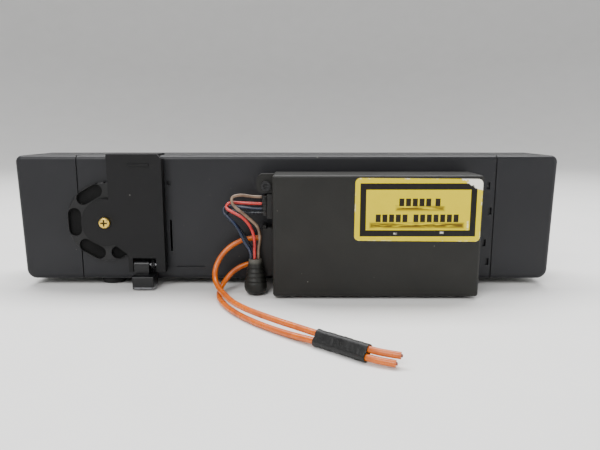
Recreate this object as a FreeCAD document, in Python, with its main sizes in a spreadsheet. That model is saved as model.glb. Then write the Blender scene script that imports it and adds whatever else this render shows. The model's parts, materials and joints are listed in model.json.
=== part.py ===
import FreeCAD, Part
import math
import os
import re
import Sketcher
from FreeCAD import Placement, Rotation, Vector

# A bench spectroscope with a laser module on its back, in millimetres.
# The optical bar is a long flat case that stands on four feet. +X is to the right seen from the back,
# +Y runs from the back to the front window, +Z is up. The origin is on the table under the middle
# of the case with its module, leaving out the two free optical fibres.

SIZES = {
    # optical bar
    "bar_half": 121.0, "bar_back": -7.0, "bar_front": 27.0, "bar_low": 3.0, "bar_top": 59.5,
    "wall": 2.2, "edge_round": 2.0, "seam": 93.5, "seal": 0.5, "cap_taper": 1.0,
    "cap_top_round": 3.0, "cap_low_round": 4.5, "lip": 4.0, "lip_wall": 1.2, "gap": 0.2,
    "optic_height": 31.0,
    # laser module
    "mod_left": -5.4, "mod_right": 81.2, "mod_low": 1.25, "mod_top": 52.5, "mod_back": -28.85,
    "mod_wall": 1.6, "lid_depth": 4.0, "mod_round": 1.2,
    "label_x": 28.5, "label_width": 52.0, "label_height": 26.0, "label_low": 25.3, "label_thick": 0.15,
    # thumbwheel and strap
    "pivot_x": -80.5, "pivot_z": 30.1, "wheel_r": 17.8, "wheel_thick": 2.3, "wheel_gap": 0.35,
    "pocket_ring": 14.2, "pocket_r": 2.9, "pocket_half": 3.4, "pocket_deep": 1.7,
    "strap_back": -12.0, "strap_thick": 2.0, "strap_left": -78.5, "strap_right": -54.5,
    "strap_low": 7.5, "strap_hub_r": 10.6, "hook_thick": 0.8, "hook_reach": 10.0,
    "screw_r": 1.25, "screw_head_r": 2.5, "screw_head": 1.7, "insert_r": 2.2, "insert_long": 7.0,
    # latch
    "latch_left": -68.6, "latch_wide": 9.6, "latch_pin_y": -10.2, "latch_pin_z": 10.6, "latch_pin_r": 0.8,
    # window
    "window_x": -62.0, "window_wide": 34.0,
    "shutter_travel": 34.0,
    # wiring
    "wire_r": 0.65, "boot_x": -13.3, "boot_y": -20.5, "boot_r": 4.9, "boot_top_r": 2.9, "boot_top": 16.0,
    "fibre_r": 1.15, "core_r": 0.5, "sleeve_wall": 0.45, "sleeve_long": 20.2,
    # feet
    "foot_r": 5.5, "foot_x": 82.0, "foot_inset": 8.0,
}

doc = FreeCAD.newDocument("Spectroscope")
sheet = doc.addObject("Spreadsheet::Sheet", "Sizes")
for row, (alias, number) in enumerate(SIZES.items(), start=1):
    sheet.set(f"A{row}", alias)
    sheet.set(f"B{row}", str(number))
    sheet.setAlias(f"B{row}", alias)
doc.recompute()
parts = {}


def bound(text):
    """The expression with each alias written as the sheet's cell."""
    return re.sub(r"[a-z_][a-z0-9_]*", lambda m: f"Sizes.{m[0]}" if m[0] in SIZES else m[0], str(text))


probe = doc.addObject("App::FeaturePython", "Probe")
probe.addProperty("App::PropertyFloat", "Answer")


def value(text):
    """The same expression worked out in millimetres, for what an expression cannot drive."""
    probe.setExpression("Answer", bound(text))
    probe.recompute()
    return probe.Answer


def place(thing, at, turn=None):
    if turn:
        thing.Placement = Placement(Vector(), Rotation(*turn))
    for axis, text in zip("xyz", at):
        thing.setExpression(f"Placement.Base.{axis}", bound(text))
    return thing


def box(name, low, size):
    """A block from its lowest corner and its three sides."""
    thing = doc.addObject("Part::Box", name)
    for side, text in zip(("Length", "Width", "Height"), size):
        thing.setExpression(side, bound(text))
    return place(thing, low)


ALONG = {"x": (Vector(0, 1, 0), 90), "y": (Vector(1, 0, 0), -90), "z": None}


def rod(name, start, radius, length, along="z"):
    """A cylinder that runs in the plus direction of one axis from its start."""
    thing = doc.addObject("Part::Cylinder", name)
    thing.setExpression("Radius", bound(radius))
    thing.setExpression("Height", bound(length))
    return place(thing, start, ALONG[along])


def cone(name, start, radius, end_radius, length, along="z"):
    thing = doc.addObject("Part::Cone", name)
    thing.setExpression("Radius1", bound(radius))
    thing.setExpression("Radius2", bound(end_radius))
    thing.setExpression("Height", bound(length))
    return place(thing, start, ALONG[along])


def fuse(name, *shapes):
    thing = doc.addObject("Part::MultiFuse", name)
    thing.Shapes = list(shapes)
    thing.Refine = True
    return thing


def cut(name, base, *tools):
    tool = tools[0] if len(tools) == 1 else fuse(name + "Tools", *tools)
    thing = doc.addObject("Part::Cut", name)
    thing.Base = base
    thing.Tool = tool
    thing.Refine = True
    return thing


def rounded(name, base, radius, wanted):
    """Fillets the edges of base that wanted(edge) picks."""
    doc.recompute()
    size = value(radius)
    thing = doc.addObject("Part::Fillet", name)
    thing.Base = base
    thing.Edges = [(n, size, size) for n, edge in enumerate(base.Shape.Edges, start=1) if wanted(edge)]
    return thing


def group(name, *shapes):
    """Separate solids that share one node."""
    thing = doc.addObject("Part::Compound", name)
    thing.Links = list(shapes)
    return thing


def node(label, thing):
    thing.Label = label
    parts[label] = thing
    return thing


def runs_along(edge, axis):
    if len(edge.Vertexes) < 2:
        return False
    a, b = (v.Point for v in edge.Vertexes[:2])
    way = b - a
    return way.Length > 1e-6 and abs(abs(way.normalize()[axis]) - 1) < 1e-4


def middle(edge):
    return edge.valueAt((edge.FirstParameter + edge.LastParameter) / 2)


def body_sketch(body, plane, name):
    """A sketch on one of the body's own origin planes."""
    sketch = body.newObject("Sketcher::SketchObject", name)
    flat = next(f for f in body.Origin.OriginFeatures if f.Role == plane)
    sketch.AttachmentSupport = [(flat, "")]
    sketch.MapMode = "FlatFace"
    return sketch


def outline(sketch, corners):
    """Closed straight outline through corners, each held to two sheet expressions."""
    points = [Vector(value(u), value(v), 0) for u, v in corners]
    for n, point in enumerate(points):
        sketch.addGeometry(Part.LineSegment(point, points[(n + 1) % len(points)]), False)
    for n in range(len(points)):
        sketch.addConstraint(Sketcher.Constraint("Coincident", n, 2, (n + 1) % len(points), 1))
    for n, (u, v) in enumerate(corners):
        for kind, text, number in (("DistanceX", u, points[n].x), ("DistanceY", v, points[n].y)):
            at = sketch.addConstraint(Sketcher.Constraint(kind, -1, 1, n, 1, number))
            sketch.setExpression(f"Constraints[{at}]", bound(text))


def circle(sketch, u, v, radius):
    centre = Vector(value(u), value(v), 0)
    number = sketch.addGeometry(Part.Circle(centre, Vector(0, 0, 1), value(radius)), False)
    held = (Sketcher.Constraint("Radius", number, value(radius)),
            Sketcher.Constraint("DistanceX", -1, 1, number, 3, value(u)),
            Sketcher.Constraint("DistanceY", -1, 1, number, 3, value(v)))
    for constraint, text in zip(held, (radius, u, v)):
        at = sketch.addConstraint(constraint)
        sketch.setExpression(f"Constraints[{at}]", bound(text))


def pad(body, sketch, length, name="Pad", both_ways=False, reverse=False):
    thing = body.newObject("PartDesign::Pad", name)
    thing.Profile = sketch
    thing.Reversed = reverse
    if both_ways:
        thing.Midplane = True
    thing.setExpression("Length", bound(length))
    doc.recompute()
    return thing


def pocket(body, sketch, length, name, reverse=False):
    """A pocket, stopped if it takes nothing away."""
    before = body.Tip.Shape.Volume
    thing = body.newObject("PartDesign::Pocket", name)
    thing.Profile = sketch
    thing.Reversed = reverse
    thing.setExpression("Length", bound(length))
    doc.recompute()
    if not thing.Shape.Volume < before - 1e-3:
        raise RuntimeError(f"{name} cuts nothing")
    return thing


def soften(body, radius, wanted, name="Fillet"):
    """A PartDesign fillet on the tip's edges that wanted(edge) picks."""
    tip = body.Tip
    names = [f"Edge{n}" for n, edge in enumerate(tip.Shape.Edges, start=1) if wanted(edge)]
    thing = body.newObject("PartDesign::Fillet", name)
    thing.Base = (tip, names)
    thing.setExpression("Radius", bound(radius))
    doc.recompute()
    return thing


def revolve(name, start, profile, along="z"):
    """A turned piece: profile is (radius, distance along the axis) all round the section."""
    body = doc.addObject("PartDesign::Body", name)
    sketch = body_sketch(body, "XZ_Plane", name + "Sketch")
    outline(sketch, profile)
    doc.recompute()
    turned = body.newObject("PartDesign::Revolution", name + "Turn")
    turned.Profile = sketch
    turned.ReferenceAxis = (sketch, ["V_Axis"])
    turned.Angle = 360
    doc.recompute()
    return place(body, start, ALONG[along])


def flat_plate(name, corners, plane_y, thickness):
    """A plate in the XZ plane: its outline, the Y of its back face, and its thickness towards +Y."""
    body = doc.addObject("PartDesign::Body", name)
    sketch = body_sketch(body, "XZ_Plane", name + "Sketch")
    outline(sketch, corners)
    doc.recompute()
    pad(body, sketch, thickness, name + "Pad", reverse=True)
    return place(body, ("0", plane_y, "0"))


def turned_box(name, at, angle, low, size):
    """A block given in an upright frame that stands at a point and is turned about Z there."""
    thing = box(name, ("0", "0", "0"), size)
    local = Vector(*[value(text) for text in low])
    spin = Rotation(Vector(0, 0, 1), angle)
    thing.Placement.Rotation = spin
    moved = spin.multVec(local)
    for axis, text, shift in zip("xyz", at, moved):
        thing.setExpression(f"Placement.Base.{axis}", bound(f"{text} + {round(shift, 4)}"))
    return thing


def route(points):
    """One wire along straight runs joined by arcs that touch them, and the smallest arc radius."""
    points = [Vector(*p) for p in points]
    edges, tight, last = [], 1e9, points[0]
    for before, corner, after in zip(points, points[1:], points[2:]):
        come, leave = corner - before, after - corner
        turn = come.getAngle(leave)
        cut_back = 0.45 * min(come.Length, leave.Length)
        bend = cut_back / math.tan(turn / 2)
        tight = min(tight, bend)
        start = corner - come.normalize() * cut_back
        end = corner + leave.normalize() * cut_back
        bisector = ((start + end) * 0.5 - corner).normalize()
        crown = corner + bisector * (bend / math.cos(turn / 2) - bend)
        edges += [Part.LineSegment(last, start).toShape(), Part.Arc(start, crown, end).toShape()]
        last = end
    edges.append(Part.LineSegment(last, points[-1]).toShape())
    return Part.Wire(edges), tight


def tube(label, points, radius):
    """A round cord along a route, with its length, tightest bend and volume printed."""
    spine, tight = route(points)
    size = value(radius)
    way = Vector(*points[1]) - Vector(*points[0])
    ring = Part.Wire([Part.Circle(Vector(*points[0]), way, size).toShape()])
    shape = Part.Solid(spine.makePipeShell([ring], True, False).Shells[0])
    ratio = shape.Volume / (math.pi * size * size * spine.Length)
    print(f"{label}: length {spine.Length:.1f}, tightest bend {tight:.1f}, volume ratio {ratio:.3f}")
    thing = doc.addObject("Part::Feature", label)
    thing.Shape = shape
    return node(label, thing)


# ---------------------------------------------------------------- optical bar

def make_rear_shell():
    """The long back channel with its bosses, posts, slots and holes."""
    half, deep = "seam - seal/2", "bar_front - wall - bar_back"
    block = box("ShellBlock", (f"-({half})", "bar_back", "bar_low"),
                (f"2*({half})", deep, "bar_top - bar_low"))
    back = value("bar_back")
    skin = rounded("ShellSkin", block, "edge_round", lambda e: runs_along(e, 0) and middle(e).y < back + 1)
    room = box("ShellRoom", (f"-({half})", "bar_back + wall", "bar_low + wall"),
               (f"2*({half})", "bar_front - bar_back", "bar_top - bar_low - 2*wall"))
    hollow = cut("ShellHollow", skin, room)
    adds = [rod("PivotBoss", ("pivot_x", "bar_back + 1", "pivot_z"), 4, "insert_long - 0.5", "y"),
            rod("TripodBoss", (0, 10, "bar_low + 1"), 6.5, 5),
            rod("EarPost", (-8.3, -16.9, 47.4), 2.8, "bar_back + 17.9", "y")]
    for n, (x, y) in enumerate(((-52, -0.5), (-52, 20.5), (56, -0.5), (56, 20.5))):
        adds.append(rod(f"BenchBoss{n}", (x, y, "bar_low + 1"), 3, 8))
    for n, (x, y) in enumerate(((-30, 3), (-30, 18), (44, 3), (44, 18))):
        adds.append(rod(f"BoardPost{n}", (x, y, 50.6), 2.4, "bar_top - 1 - 50.6"))
    for n, (x, z) in enumerate(((-84, 9.4), (-84, 53.1), (84, 9.4), (84, 53.1))):
        adds.append(rod(f"CoverPost{n}", (x, "bar_back + 1", z), 3, "bar_front - wall - bar_back - 1", "y"))
    for n, z in enumerate((9, 45)):
        adds.append(rod(f"ModuleBoss{n}", (75, "bar_back + 1", z), 3, 6, "y"))
    solid = fuse("ShellSolid", hollow, *adds)
    holes = [rod("PivotHole", ("pivot_x", "bar_back - 1", "pivot_z"), "insert_r", "insert_long + 1", "y"),
             rod("TripodHole", (0, 10, 0), 4.5, 12),
             rod("EarHole", (-8.3, -18, 47.4), "screw_r", 9, "y")]
    for n, (x, y) in enumerate(((-52, -0.5), (-52, 20.5), (56, -0.5), (56, 20.5))):
        holes.append(rod(f"BenchHole{n}", (x, y, 6), "screw_r", 7))
    for n, (x, y) in enumerate(((-30, 3), (-30, 18), (44, 3), (44, 18))):
        holes.append(rod(f"BoardHole{n}", (x, y, 50), "screw_r", 6))
    for n, (x, z) in enumerate(((-84, 9.4), (-84, 53.1), (84, 9.4), (84, 53.1))):
        holes.append(rod(f"CoverHole{n}", (x, 14, z), 1.1, 12, "y"))
    for n, z in enumerate((9, 45)):
        holes.append(rod(f"ModuleHole{n}", (75, "bar_back - 1", z), "screw_r", 7, "y"))
    holes += [rod("BootHole", ("boot_x", "bar_back - 1", 7.6), 1.8, 5, "y"),
              rod("SmallHole", (-52.6, "bar_back - 1", 47.3), 1.1, 2.2, "y"),
              box("BackSlot", (-52.9, "bar_back - 1", 16.6), (0.9, 5, 13.6)),
              rod("SlotLow", (-52.45, "bar_back - 1", 16.6), 0.45, 5, "y"),
              rod("SlotHigh", (-52.45, "bar_back - 1", 30.2), 0.45, 5, "y"),
              box("BackGroove", (-50.4, "bar_back - 1", 8.8), (12.8, 1.5, 0.6)),
              rod("LightPort", (-2, "bar_back - 1", 36), 2.5, 5, "y")]
    for n, (x, z) in enumerate(((89.6, 44.4), (90.9, 33), (89.1, 18.4), (90.9, 9.6))):
        holes.append(box(f"Keyhole{n}", (x, "bar_back - 1", z), (1.5, 2.2, 3.2)))
    return node("rear_shell", cut("RearShell", solid, *holes))


def make_front_cover():
    """The flat front plate, with the window opening and its glass recess."""
    plate = box("CoverPlate", ("-(seam - seal/2)", "bar_front - wall", "bar_low"),
                ("2*seam - seal", "wall", "bar_top - bar_low"))
    front = value("bar_front")
    skin = rounded("CoverSkin", plate, 1.6, lambda e: runs_along(e, 0) and middle(e).y > front - 0.1)
    opening = box("WindowOpening", ("window_x - 16", 20, "optic_height - 11"), (32, 10, 22))
    recess = box("GlassRecess", ("window_x - 18", "bar_front - wall - 1", "optic_height - 13"), (36, 2, 26))
    tools = [opening, recess]
    for n, (x, z) in enumerate(((-84, 9.4), (-84, 53.1), (84, 9.4), (84, 53.1))):
        tools.append(rod(f"CoverScrewHole{n}", (x, 20, z), 1.1, 8, "y"))
        tools.append(cone(f"CoverSink{n}", (x, "bar_front - 1.2", z), 1.1, 2.3, 1.2, "y"))
    return node("front_cover", cut("FrontCover", skin, *tools))


def inner_block(name, start_x, length, inset):
    """A block along the bar that stays one inset inside its outline."""
    return box(name, (start_x, f"bar_back + {inset}", f"bar_low + {inset}"),
               (length, f"bar_front - bar_back - 2*({inset})", f"bar_top - bar_low - 2*({inset})"))


def make_end_cap(side, sign):
    """A hollow moulded end with rounded corners and a lip that plugs into the bar."""
    body = doc.addObject("PartDesign::Body", f"{side}CapBody")
    sketch = body_sketch(body, "XZ_Plane", f"{side}CapSketch")
    face, end = f"{sign}*(seam + seal/2)", f"{sign}*bar_half"
    outline(sketch, ((face, "bar_low"), (face, "bar_top"), (end, "bar_top"),
                     (f"{sign}*(bar_half - cap_taper)", "bar_low")))
    doc.recompute()
    pad(body, sketch, "bar_front - bar_back", f"{side}CapPad", reverse=True)
    far = abs(value(face)) + 5

    def corner(top):
        return lambda e: runs_along(e, 1) and abs(middle(e).x) > far and (middle(e).z > 30) == top

    soften(body, "cap_top_round", corner(True), f"{side}CapTopRound")
    soften(body, "cap_low_round", corner(False), f"{side}CapLowRound")

    def rim(edge):
        flat = abs(middle(edge).y) < 0.01 or abs(middle(edge).y - 34) < 0.01
        on_face = all(abs(abs(v.Point.x) - far + 5) < 0.01 for v in edge.Vertexes)
        return flat and not on_face

    soften(body, "edge_round", rim, f"{side}CapEdge")
    place(body, (0, "bar_back", 0))
    width = "bar_half - seam - seal/2 - wall - cap_taper"
    start = "seam + seal/2" if sign > 0 else f"-(seam + seal/2) - ({width})"
    room = box(f"{side}CapRoom", (start, "bar_back + wall", "bar_low + wall"),
               (width, "bar_front - bar_back - 2*wall", "bar_top - bar_low - 2*wall"))
    cap = cut(f"{side}CapShell", body, room)
    inset = "wall + gap"
    lip_x = "seam + seal/2 - lip" if sign > 0 else "-(seam + seal/2) - 1"
    collar_x = "seam + seal/2" if sign > 0 else "-(seam + seal/2) - 3"
    lip = inner_block(f"{side}Lip", lip_x, "lip + 1", inset)
    collar = inner_block(f"{side}Collar", collar_x, 3, "wall - 0.5")
    bore = inner_block(f"{side}LipBore", f"{lip_x} - 6", "lip + 12", f"{inset} + lip_wall")
    ring = cut(f"{side}LipRing", fuse(f"{side}LipSolid", lip, collar), bore)
    return node(f"{side}_end_cap", fuse(f"{side}Cap", cap, ring))


def make_cap_seal(side, sign):
    """The thin rubber frame between an end cap and the bar."""
    start = f"{sign}*seam - seal/2"
    sheet_block = box(f"{side}SealSheet", (start, "bar_back + 0.6", "bar_low + 0.6"),
                      ("seal", "bar_front - bar_back - 1.2", "bar_top - bar_low - 1.2"))
    hole = box(f"{side}SealHole", (f"{start} - 1", "bar_back + wall", "bar_low + wall"),
               ("seal + 2", "bar_front - bar_back - 2*wall", "bar_top - bar_low - 2*wall"))
    return node(f"{side}_cap_seal", cut(f"{side}Seal", sheet_block, hole))


def make_housing_screws():
    screws = []
    for n, (x, z) in enumerate(((-84, 9.4), (-84, 53.1), (84, 9.4), (84, 53.1))):
        shank = rod(f"CoverShank{n}", (x, 15, z), 1.1, "bar_front - 15 - 0.6", "y")
        head = cone(f"CoverHead{n}", (x, "bar_front - 1.2", z), 1.1, 2.3, 1.2, "y")
        slot = rod(f"CoverDrive{n}", (x, "bar_front - 0.6", z), 0.8, 1, "y")
        screws.append(cut(f"CoverScrew{n}", fuse(f"CoverScrewBlank{n}", shank, head), slot))
    return node("housing_screws", group("HousingScrews", *screws))


def make_feet():
    """Four rubber feet: turned discs with a worn round edge."""
    feet = []
    profile = ((0, 0), ("foot_r - 0.9", 0), ("foot_r - 0.3", 0.6), ("foot_r", "bar_low"), (0, "bar_low"))
    for n, (x, y) in enumerate(((-1, 0), (1, 0), (-1, 1), (1, 1))):
        inset = "bar_back + foot_inset" if y == 0 else "bar_front - foot_inset"
        feet.append(revolve(f"Foot{n}", (f"{x}*foot_x", inset, 0), profile))
    return node("rubber_feet", group("RubberFeet", *feet))


def make_tripod_insert():
    sleeve = rod("TripodSleeve", (0, 10, "bar_low"), 4.5, 8)
    bore = rod("TripodBore", (0, 10, 0), 2.65, 12)
    return node("tripod_insert", cut("TripodInsert", sleeve, bore))


# ---------------------------------------------------------------- front window

def make_window():
    """Sliding shutter in a rail frame, over a flat glass."""
    glass = box("Glass", ("window_x - 18", "bar_front - wall", "optic_height - 13"), (36, 1, 26))
    node("window_glass", glass)
    left, width = "window_x - 23", "window_wide + shutter_travel + 11"
    frame = box("RailFrame", (left, "bar_front", "optic_height - 18"), (width, 2, 36))
    edge = rounded("RailFrameRound", frame, 1.0, lambda e: not runs_along(e, 1) and middle(e).y > 28.9)
    channel = box("RailChannel", (f"{left} + 4.2", "bar_front - 1", "optic_height - 13.5"),
                  (f"{width} - 8.4", 2.3, 27))
    view = box("RailView", (f"{left} + 4.2", "bar_front - 1", "optic_height - 11.6"),
               (f"{width} - 8.4", 5, 23.2))
    node("window_bezel", cut("WindowBezel", edge, channel, view))
    plate = box("ShutterPlate", ("window_x - 18.4", "bar_front + 0.35", "optic_height - 13.1"),
                (36, 0.6, 26.2))
    grips = [box(f"ShutterGrip{n}", (f"window_x + 12 + {n}*1.6", "bar_front + 0.9", "optic_height - 8"),
                 (0.8, 1.0, 16)) for n in range(3)]
    return node("shutter", fuse("Shutter", plate, *grips))


# ---------------------------------------------------------------- strap, thumbwheel and latch

def slot_outline(sketch, u, v, half, radius):
    """An upright slot with round ends, centred on (u, v)."""
    centre, reach, size = Vector(value(u), value(v), 0), Vector(0, value(half), 0), value(radius)
    side = Vector(size, 0, 0)
    out = Vector(0, 0, 1)
    sketch.addGeometry(Part.LineSegment(centre + side - reach, centre + side + reach), False)
    sketch.addGeometry(Part.ArcOfCircle(Part.Circle(centre + reach, out, size), 0, math.pi), False)
    sketch.addGeometry(Part.LineSegment(centre - side + reach, centre - side - reach), False)
    sketch.addGeometry(Part.ArcOfCircle(Part.Circle(centre - reach, out, size), math.pi, 2 * math.pi), False)
    for n in range(4):
        sketch.addConstraint(Sketcher.Constraint("Coincident", n, 2, (n + 1) % 4, 1))


def pattern_round(body, feature, sketch, count, name):
    turned = body.newObject("PartDesign::PolarPattern", name)
    turned.Originals = [feature]
    turned.Axis = (sketch, ["N_Axis"])
    turned.Angle = 360
    turned.Occurrences = count
    body.Tip = turned
    doc.recompute()


def make_thumbwheel():
    """A flat wheel with six finger pockets and a notched rim, turning on the pivot screw."""
    body = doc.addObject("PartDesign::Body", "WheelBody")
    disc = body_sketch(body, "XZ_Plane", "WheelSketch")
    circle(disc, 0, 0, "wheel_r")
    circle(disc, 0, 0, "screw_r + 0.06")
    doc.recompute()
    pad(body, disc, "wheel_thick", "WheelPad", reverse=True)
    soften(body, 0.5, lambda e: e.Length > 80, "WheelEdge")
    finger = body_sketch(body, "XZ_Plane", "FingerSketch")
    slot_outline(finger, "-pocket_ring", 0, "pocket_half", "pocket_r")
    doc.recompute()
    first = pocket(body, finger, "pocket_deep", "FingerPocket")
    pattern_round(body, first, finger, 6, "FingerPockets")
    notch = body_sketch(body, "XZ_Plane", "NotchSketch")
    circle(notch, "(wheel_r + 0.35)*cos(30)", "(wheel_r + 0.35)*sin(30)", 0.8)
    doc.recompute()
    second = pocket(body, notch, "wheel_thick + 1", "RimNotch")
    pattern_round(body, second, notch, 30, "RimNotches")
    return node("thumbwheel", place(body, ("pivot_x", "strap_back + strap_thick + wheel_gap", "pivot_z")))


def make_strap():
    """The sheet strap that hooks over the bar, carries the wheel's hub and holds the latch pin."""
    plate = flat_plate("StrapPlate", (
        ("strap_left", "bar_top + hook_thick"), ("strap_right - 2", "bar_top + hook_thick"),
        ("strap_right", "bar_top - 1.2"), ("strap_right", "strap_low"), (-58.6, "strap_low"), (-58.6, 14),
        (-69, 14), (-69, "strap_low"), (-71, "strap_low"), (-71, 15.5), ("strap_left", 21.5)),
        "strap_back", "strap_thick")
    hub = rod("StrapHub", ("pivot_x", "strap_back", "pivot_z"), "strap_hub_r", "strap_thick", "y")
    hook = box("StrapHook", ("strap_left", "strap_back", "bar_top"),
               ("strap_right - 2 - strap_left", "bar_back - strap_back + hook_reach", "hook_thick"))
    side = box("StrapSide", ("strap_right - 2", "strap_back", 14),
               (2, "bar_back - strap_back", "bar_top - 15.2"))
    right_ear = box("RightEar", (-58.6, "strap_back", "strap_low"), (4.1, 3.6, 6.5))
    left_ear = box("LeftEar", (-71, "strap_back", "strap_low"), (2, 3.6, 6.5))
    rib = box("StrapRib", (-69, "strap_back - 0.5", 55), (9, 1, 1))
    solid = fuse("StrapSolid", plate, hub, hook, side, right_ear, left_ear, rib)
    bore = rod("StrapBore", ("pivot_x", "strap_back - 1", "pivot_z"), "screw_r", 5, "y")
    pin = rod("StrapPinHole", (-72, "latch_pin_y", "latch_pin_z"), "latch_pin_r", 20, "x")
    return node("mounting_strap", cut("MountingStrap", solid, bore, pin))


def make_pivot():
    """The pan-head screw through strap and wheel, and the brass insert it turns into."""
    head = rod("PivotHead", ("pivot_x", "strap_back - screw_head", "pivot_z"),
               "screw_head_r", "screw_head", "y")
    front = value("strap_back - screw_head")
    dome = rounded("PivotDome", head, 0.9, lambda e: abs(middle(e).y - front) < 0.01 and e.Length > 5)
    shank = rod("PivotShank", ("pivot_x", "strap_back - 0.5", "pivot_z"), "screw_r", 11.5, "y")
    cross = [box(f"PivotCross{n}", (f"pivot_x - {a}", "strap_back - screw_head - 1", f"pivot_z - {b}"),
                 (2 * a, 1.9, 2 * b)) for n, (a, b) in enumerate(((1.5, 0.35), (0.35, 1.5)))]
    node("pivot_screw", cut("PivotScrew", fuse("PivotBlank", dome, shank), *cross))
    sleeve = rod("InsertSleeve", ("pivot_x", "bar_back", "pivot_z"), "insert_r", "insert_long", "y")
    bore = rod("InsertBore", ("pivot_x", "bar_back - 1", "pivot_z"), "screw_r", "insert_long + 2", "y")
    return node("threaded_insert", cut("ThreadedInsert", sleeve, bore))


def make_latch():
    """A sprung lever under the strap, whose lip hooks beneath the bar."""
    front, back = "latch_pin_y - 1.9", "latch_pin_y + 1.9"
    barrel = rod("LatchBarrel", ("latch_left", "latch_pin_y", "latch_pin_z"), 1.9, 6.6, "x")
    web = box("LatchWeb", ("latch_left", front, 6), (6.6, 3.8, "latch_pin_z - 6"))
    thumb = box("LatchThumb", ("latch_left", -16.5, 0.6), ("latch_wide", f"{back} + 16.5", 5.9))
    edge = rounded("LatchThumbEdge", thumb, 0.7, lambda e: middle(e).y < -16.4)
    lip = box("LatchLip", ("latch_left + 1.6", f"{back} - 1", 1.6),
              ("latch_wide - 3.2", f"-5 - ({back}) + 1", 1))
    bore = rod("LatchBore", ("latch_left - 1", "latch_pin_y", "latch_pin_z"), "latch_pin_r + 0.06", 10, "x")
    node("release_latch", cut("ReleaseLatch", fuse("LatchSolid", barrel, web, edge, lip), bore))
    node("latch_pin", rod("LatchPin", (-71, "latch_pin_y", "latch_pin_z"), "latch_pin_r", 14.4, "x"))
    coil = doc.addObject("Part::Helix", "SpringHelix")
    coil.setExpression("Pitch", "0.8")
    coil.setExpression("Height", "1.7")
    coil.setExpression("Radius", bound("latch_pin_r + 0.65"))
    wire = doc.addObject("Part::Circle", "SpringWire")
    wire.Radius = 0.32
    wire.Placement = Placement(Vector(value("latch_pin_r + 0.65"), 0, 0), Rotation(Vector(1, 0, 0), 90))
    doc.recompute()
    spring = doc.addObject("Part::Sweep", "LatchSpring")
    spring.Sections = [wire]
    spring.Spine = (coil, [f"Edge{n}" for n in range(1, len(coil.Shape.Edges) + 1)])
    spring.Solid = True
    spring.Frenet = True
    return node("latch_spring", place(spring, (-61.25, "latch_pin_y", "latch_pin_z"), ALONG["x"]))


# ---------------------------------------------------------------- laser module

def make_module_case():
    """The open tray on the bar's back, with the ear, the board posts and the fibre holes."""
    width, height = "mod_right - mod_left", "mod_top - mod_low"
    depth = "bar_back - mod_back - lid_depth"
    tray = box("TrayBlock", ("mod_left", "mod_back + lid_depth", "mod_low"), (width, depth, height))
    skin = rounded("TraySkin", tray, "mod_round", lambda e: runs_along(e, 1))
    room = box("TrayRoom", ("mod_left + mod_wall", "mod_back", "mod_low + mod_wall"),
               (f"{width} - 2*mod_wall", "bar_back - mod_back - mod_wall", f"{height} - 2*mod_wall"))
    ear = box("Ear", (-12.3, -21, 44.4), ("mod_left + 12.8", 4.1, "mod_top - 44.4"))
    ear_skin = rounded("EarSkin", ear, 2.6, lambda e: runs_along(e, 1) and middle(e).x < -12)
    adds = [ear_skin]
    for n, (x, z) in enumerate(((29, 10), (29, 44), (67, 10), (67, 44))):
        adds.append(rod(f"BoardPeg{n}", (x, -14, z), 2.5, 6, "y"))
    solid = fuse("CaseSolid", cut("CaseHollow", skin, room), *adds)
    holes = [rod("EarScrewHole", (-8.3, -22, 47.4), "screw_r", 6, "y"),
             rod("PortHole", (-2, -10, 36), 2.5, 4, "y")]
    for n, z in enumerate((23.5, 12)):
        holes.append(rod(f"FerruleHole{n}", ("mod_left - 1", -12.5, z), 1.9, 4, "x"))
    for n, (x, z) in enumerate(((29, 10), (29, 44), (67, 10), (67, 44))):
        holes.append(rod(f"PegHole{n}", (x, -15, z), "screw_r", 5, "y"))
    for n, z in enumerate((9, 45)):
        holes.append(rod(f"FixHole{n}", (75, -10, z), "screw_r", 4, "y"))
    holes.append(box("WireHole", ("mod_left - 1", -19, 35), (4, 4, 8)))
    return node("module_case", cut("ModuleCase", solid, *holes))


def make_module_cover():
    """The lid, a shallow tray with a soft front edge, and the sticker on it."""
    width, height = "mod_right - mod_left", "mod_top - mod_low"
    lid = box("LidBlock", ("mod_left", "mod_back", "mod_low"), (width, "lid_depth", height))
    front = value("mod_back + lid_depth")
    skin = rounded("LidSkin", lid, "mod_round", lambda e: runs_along(e, 1) or middle(e).y < front - 3.9)
    room = box("LidRoom", ("mod_left + mod_wall", "mod_back + mod_wall", "mod_low + mod_wall"),
               (f"{width} - 2*mod_wall", "lid_depth", f"{height} - 2*mod_wall"))
    node("module_cover", cut("ModuleCover", skin, room))
    sticker = box("LabelSheet", ("label_x", "mod_back - label_thick", "label_low"),
                  ("label_width", "label_thick", "label_height"))
    return node("laser_label", rounded("LaserLabel", sticker, 2, lambda e: runs_along(e, 1)))


def make_module_screws():
    head = rod("EarHead", (-8.3, -22.3, 47.4), 2.1, 1.3, "y")
    hex_hole = rod("EarDrive", (-8.3, -23, 47.4), 1.0, 1.5, "y")
    shank = rod("EarShank", (-8.3, -21.2, 47.4), "screw_r", 10, "y")
    screws = [cut("EarScrew", fuse("EarBlank", head, shank), hex_hole)]
    for n, z in enumerate((9, 45)):
        pan = rod(f"FixHead{n}", (75, -9.9, z), 2.2, 1.3, "y")
        screws.append(fuse(f"FixScrew{n}", pan, rod(f"FixShank{n}", (75, -8.8, z), "screw_r", 6, "y")))
    return node("module_screws", group("ModuleScrews", *screws))


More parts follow.
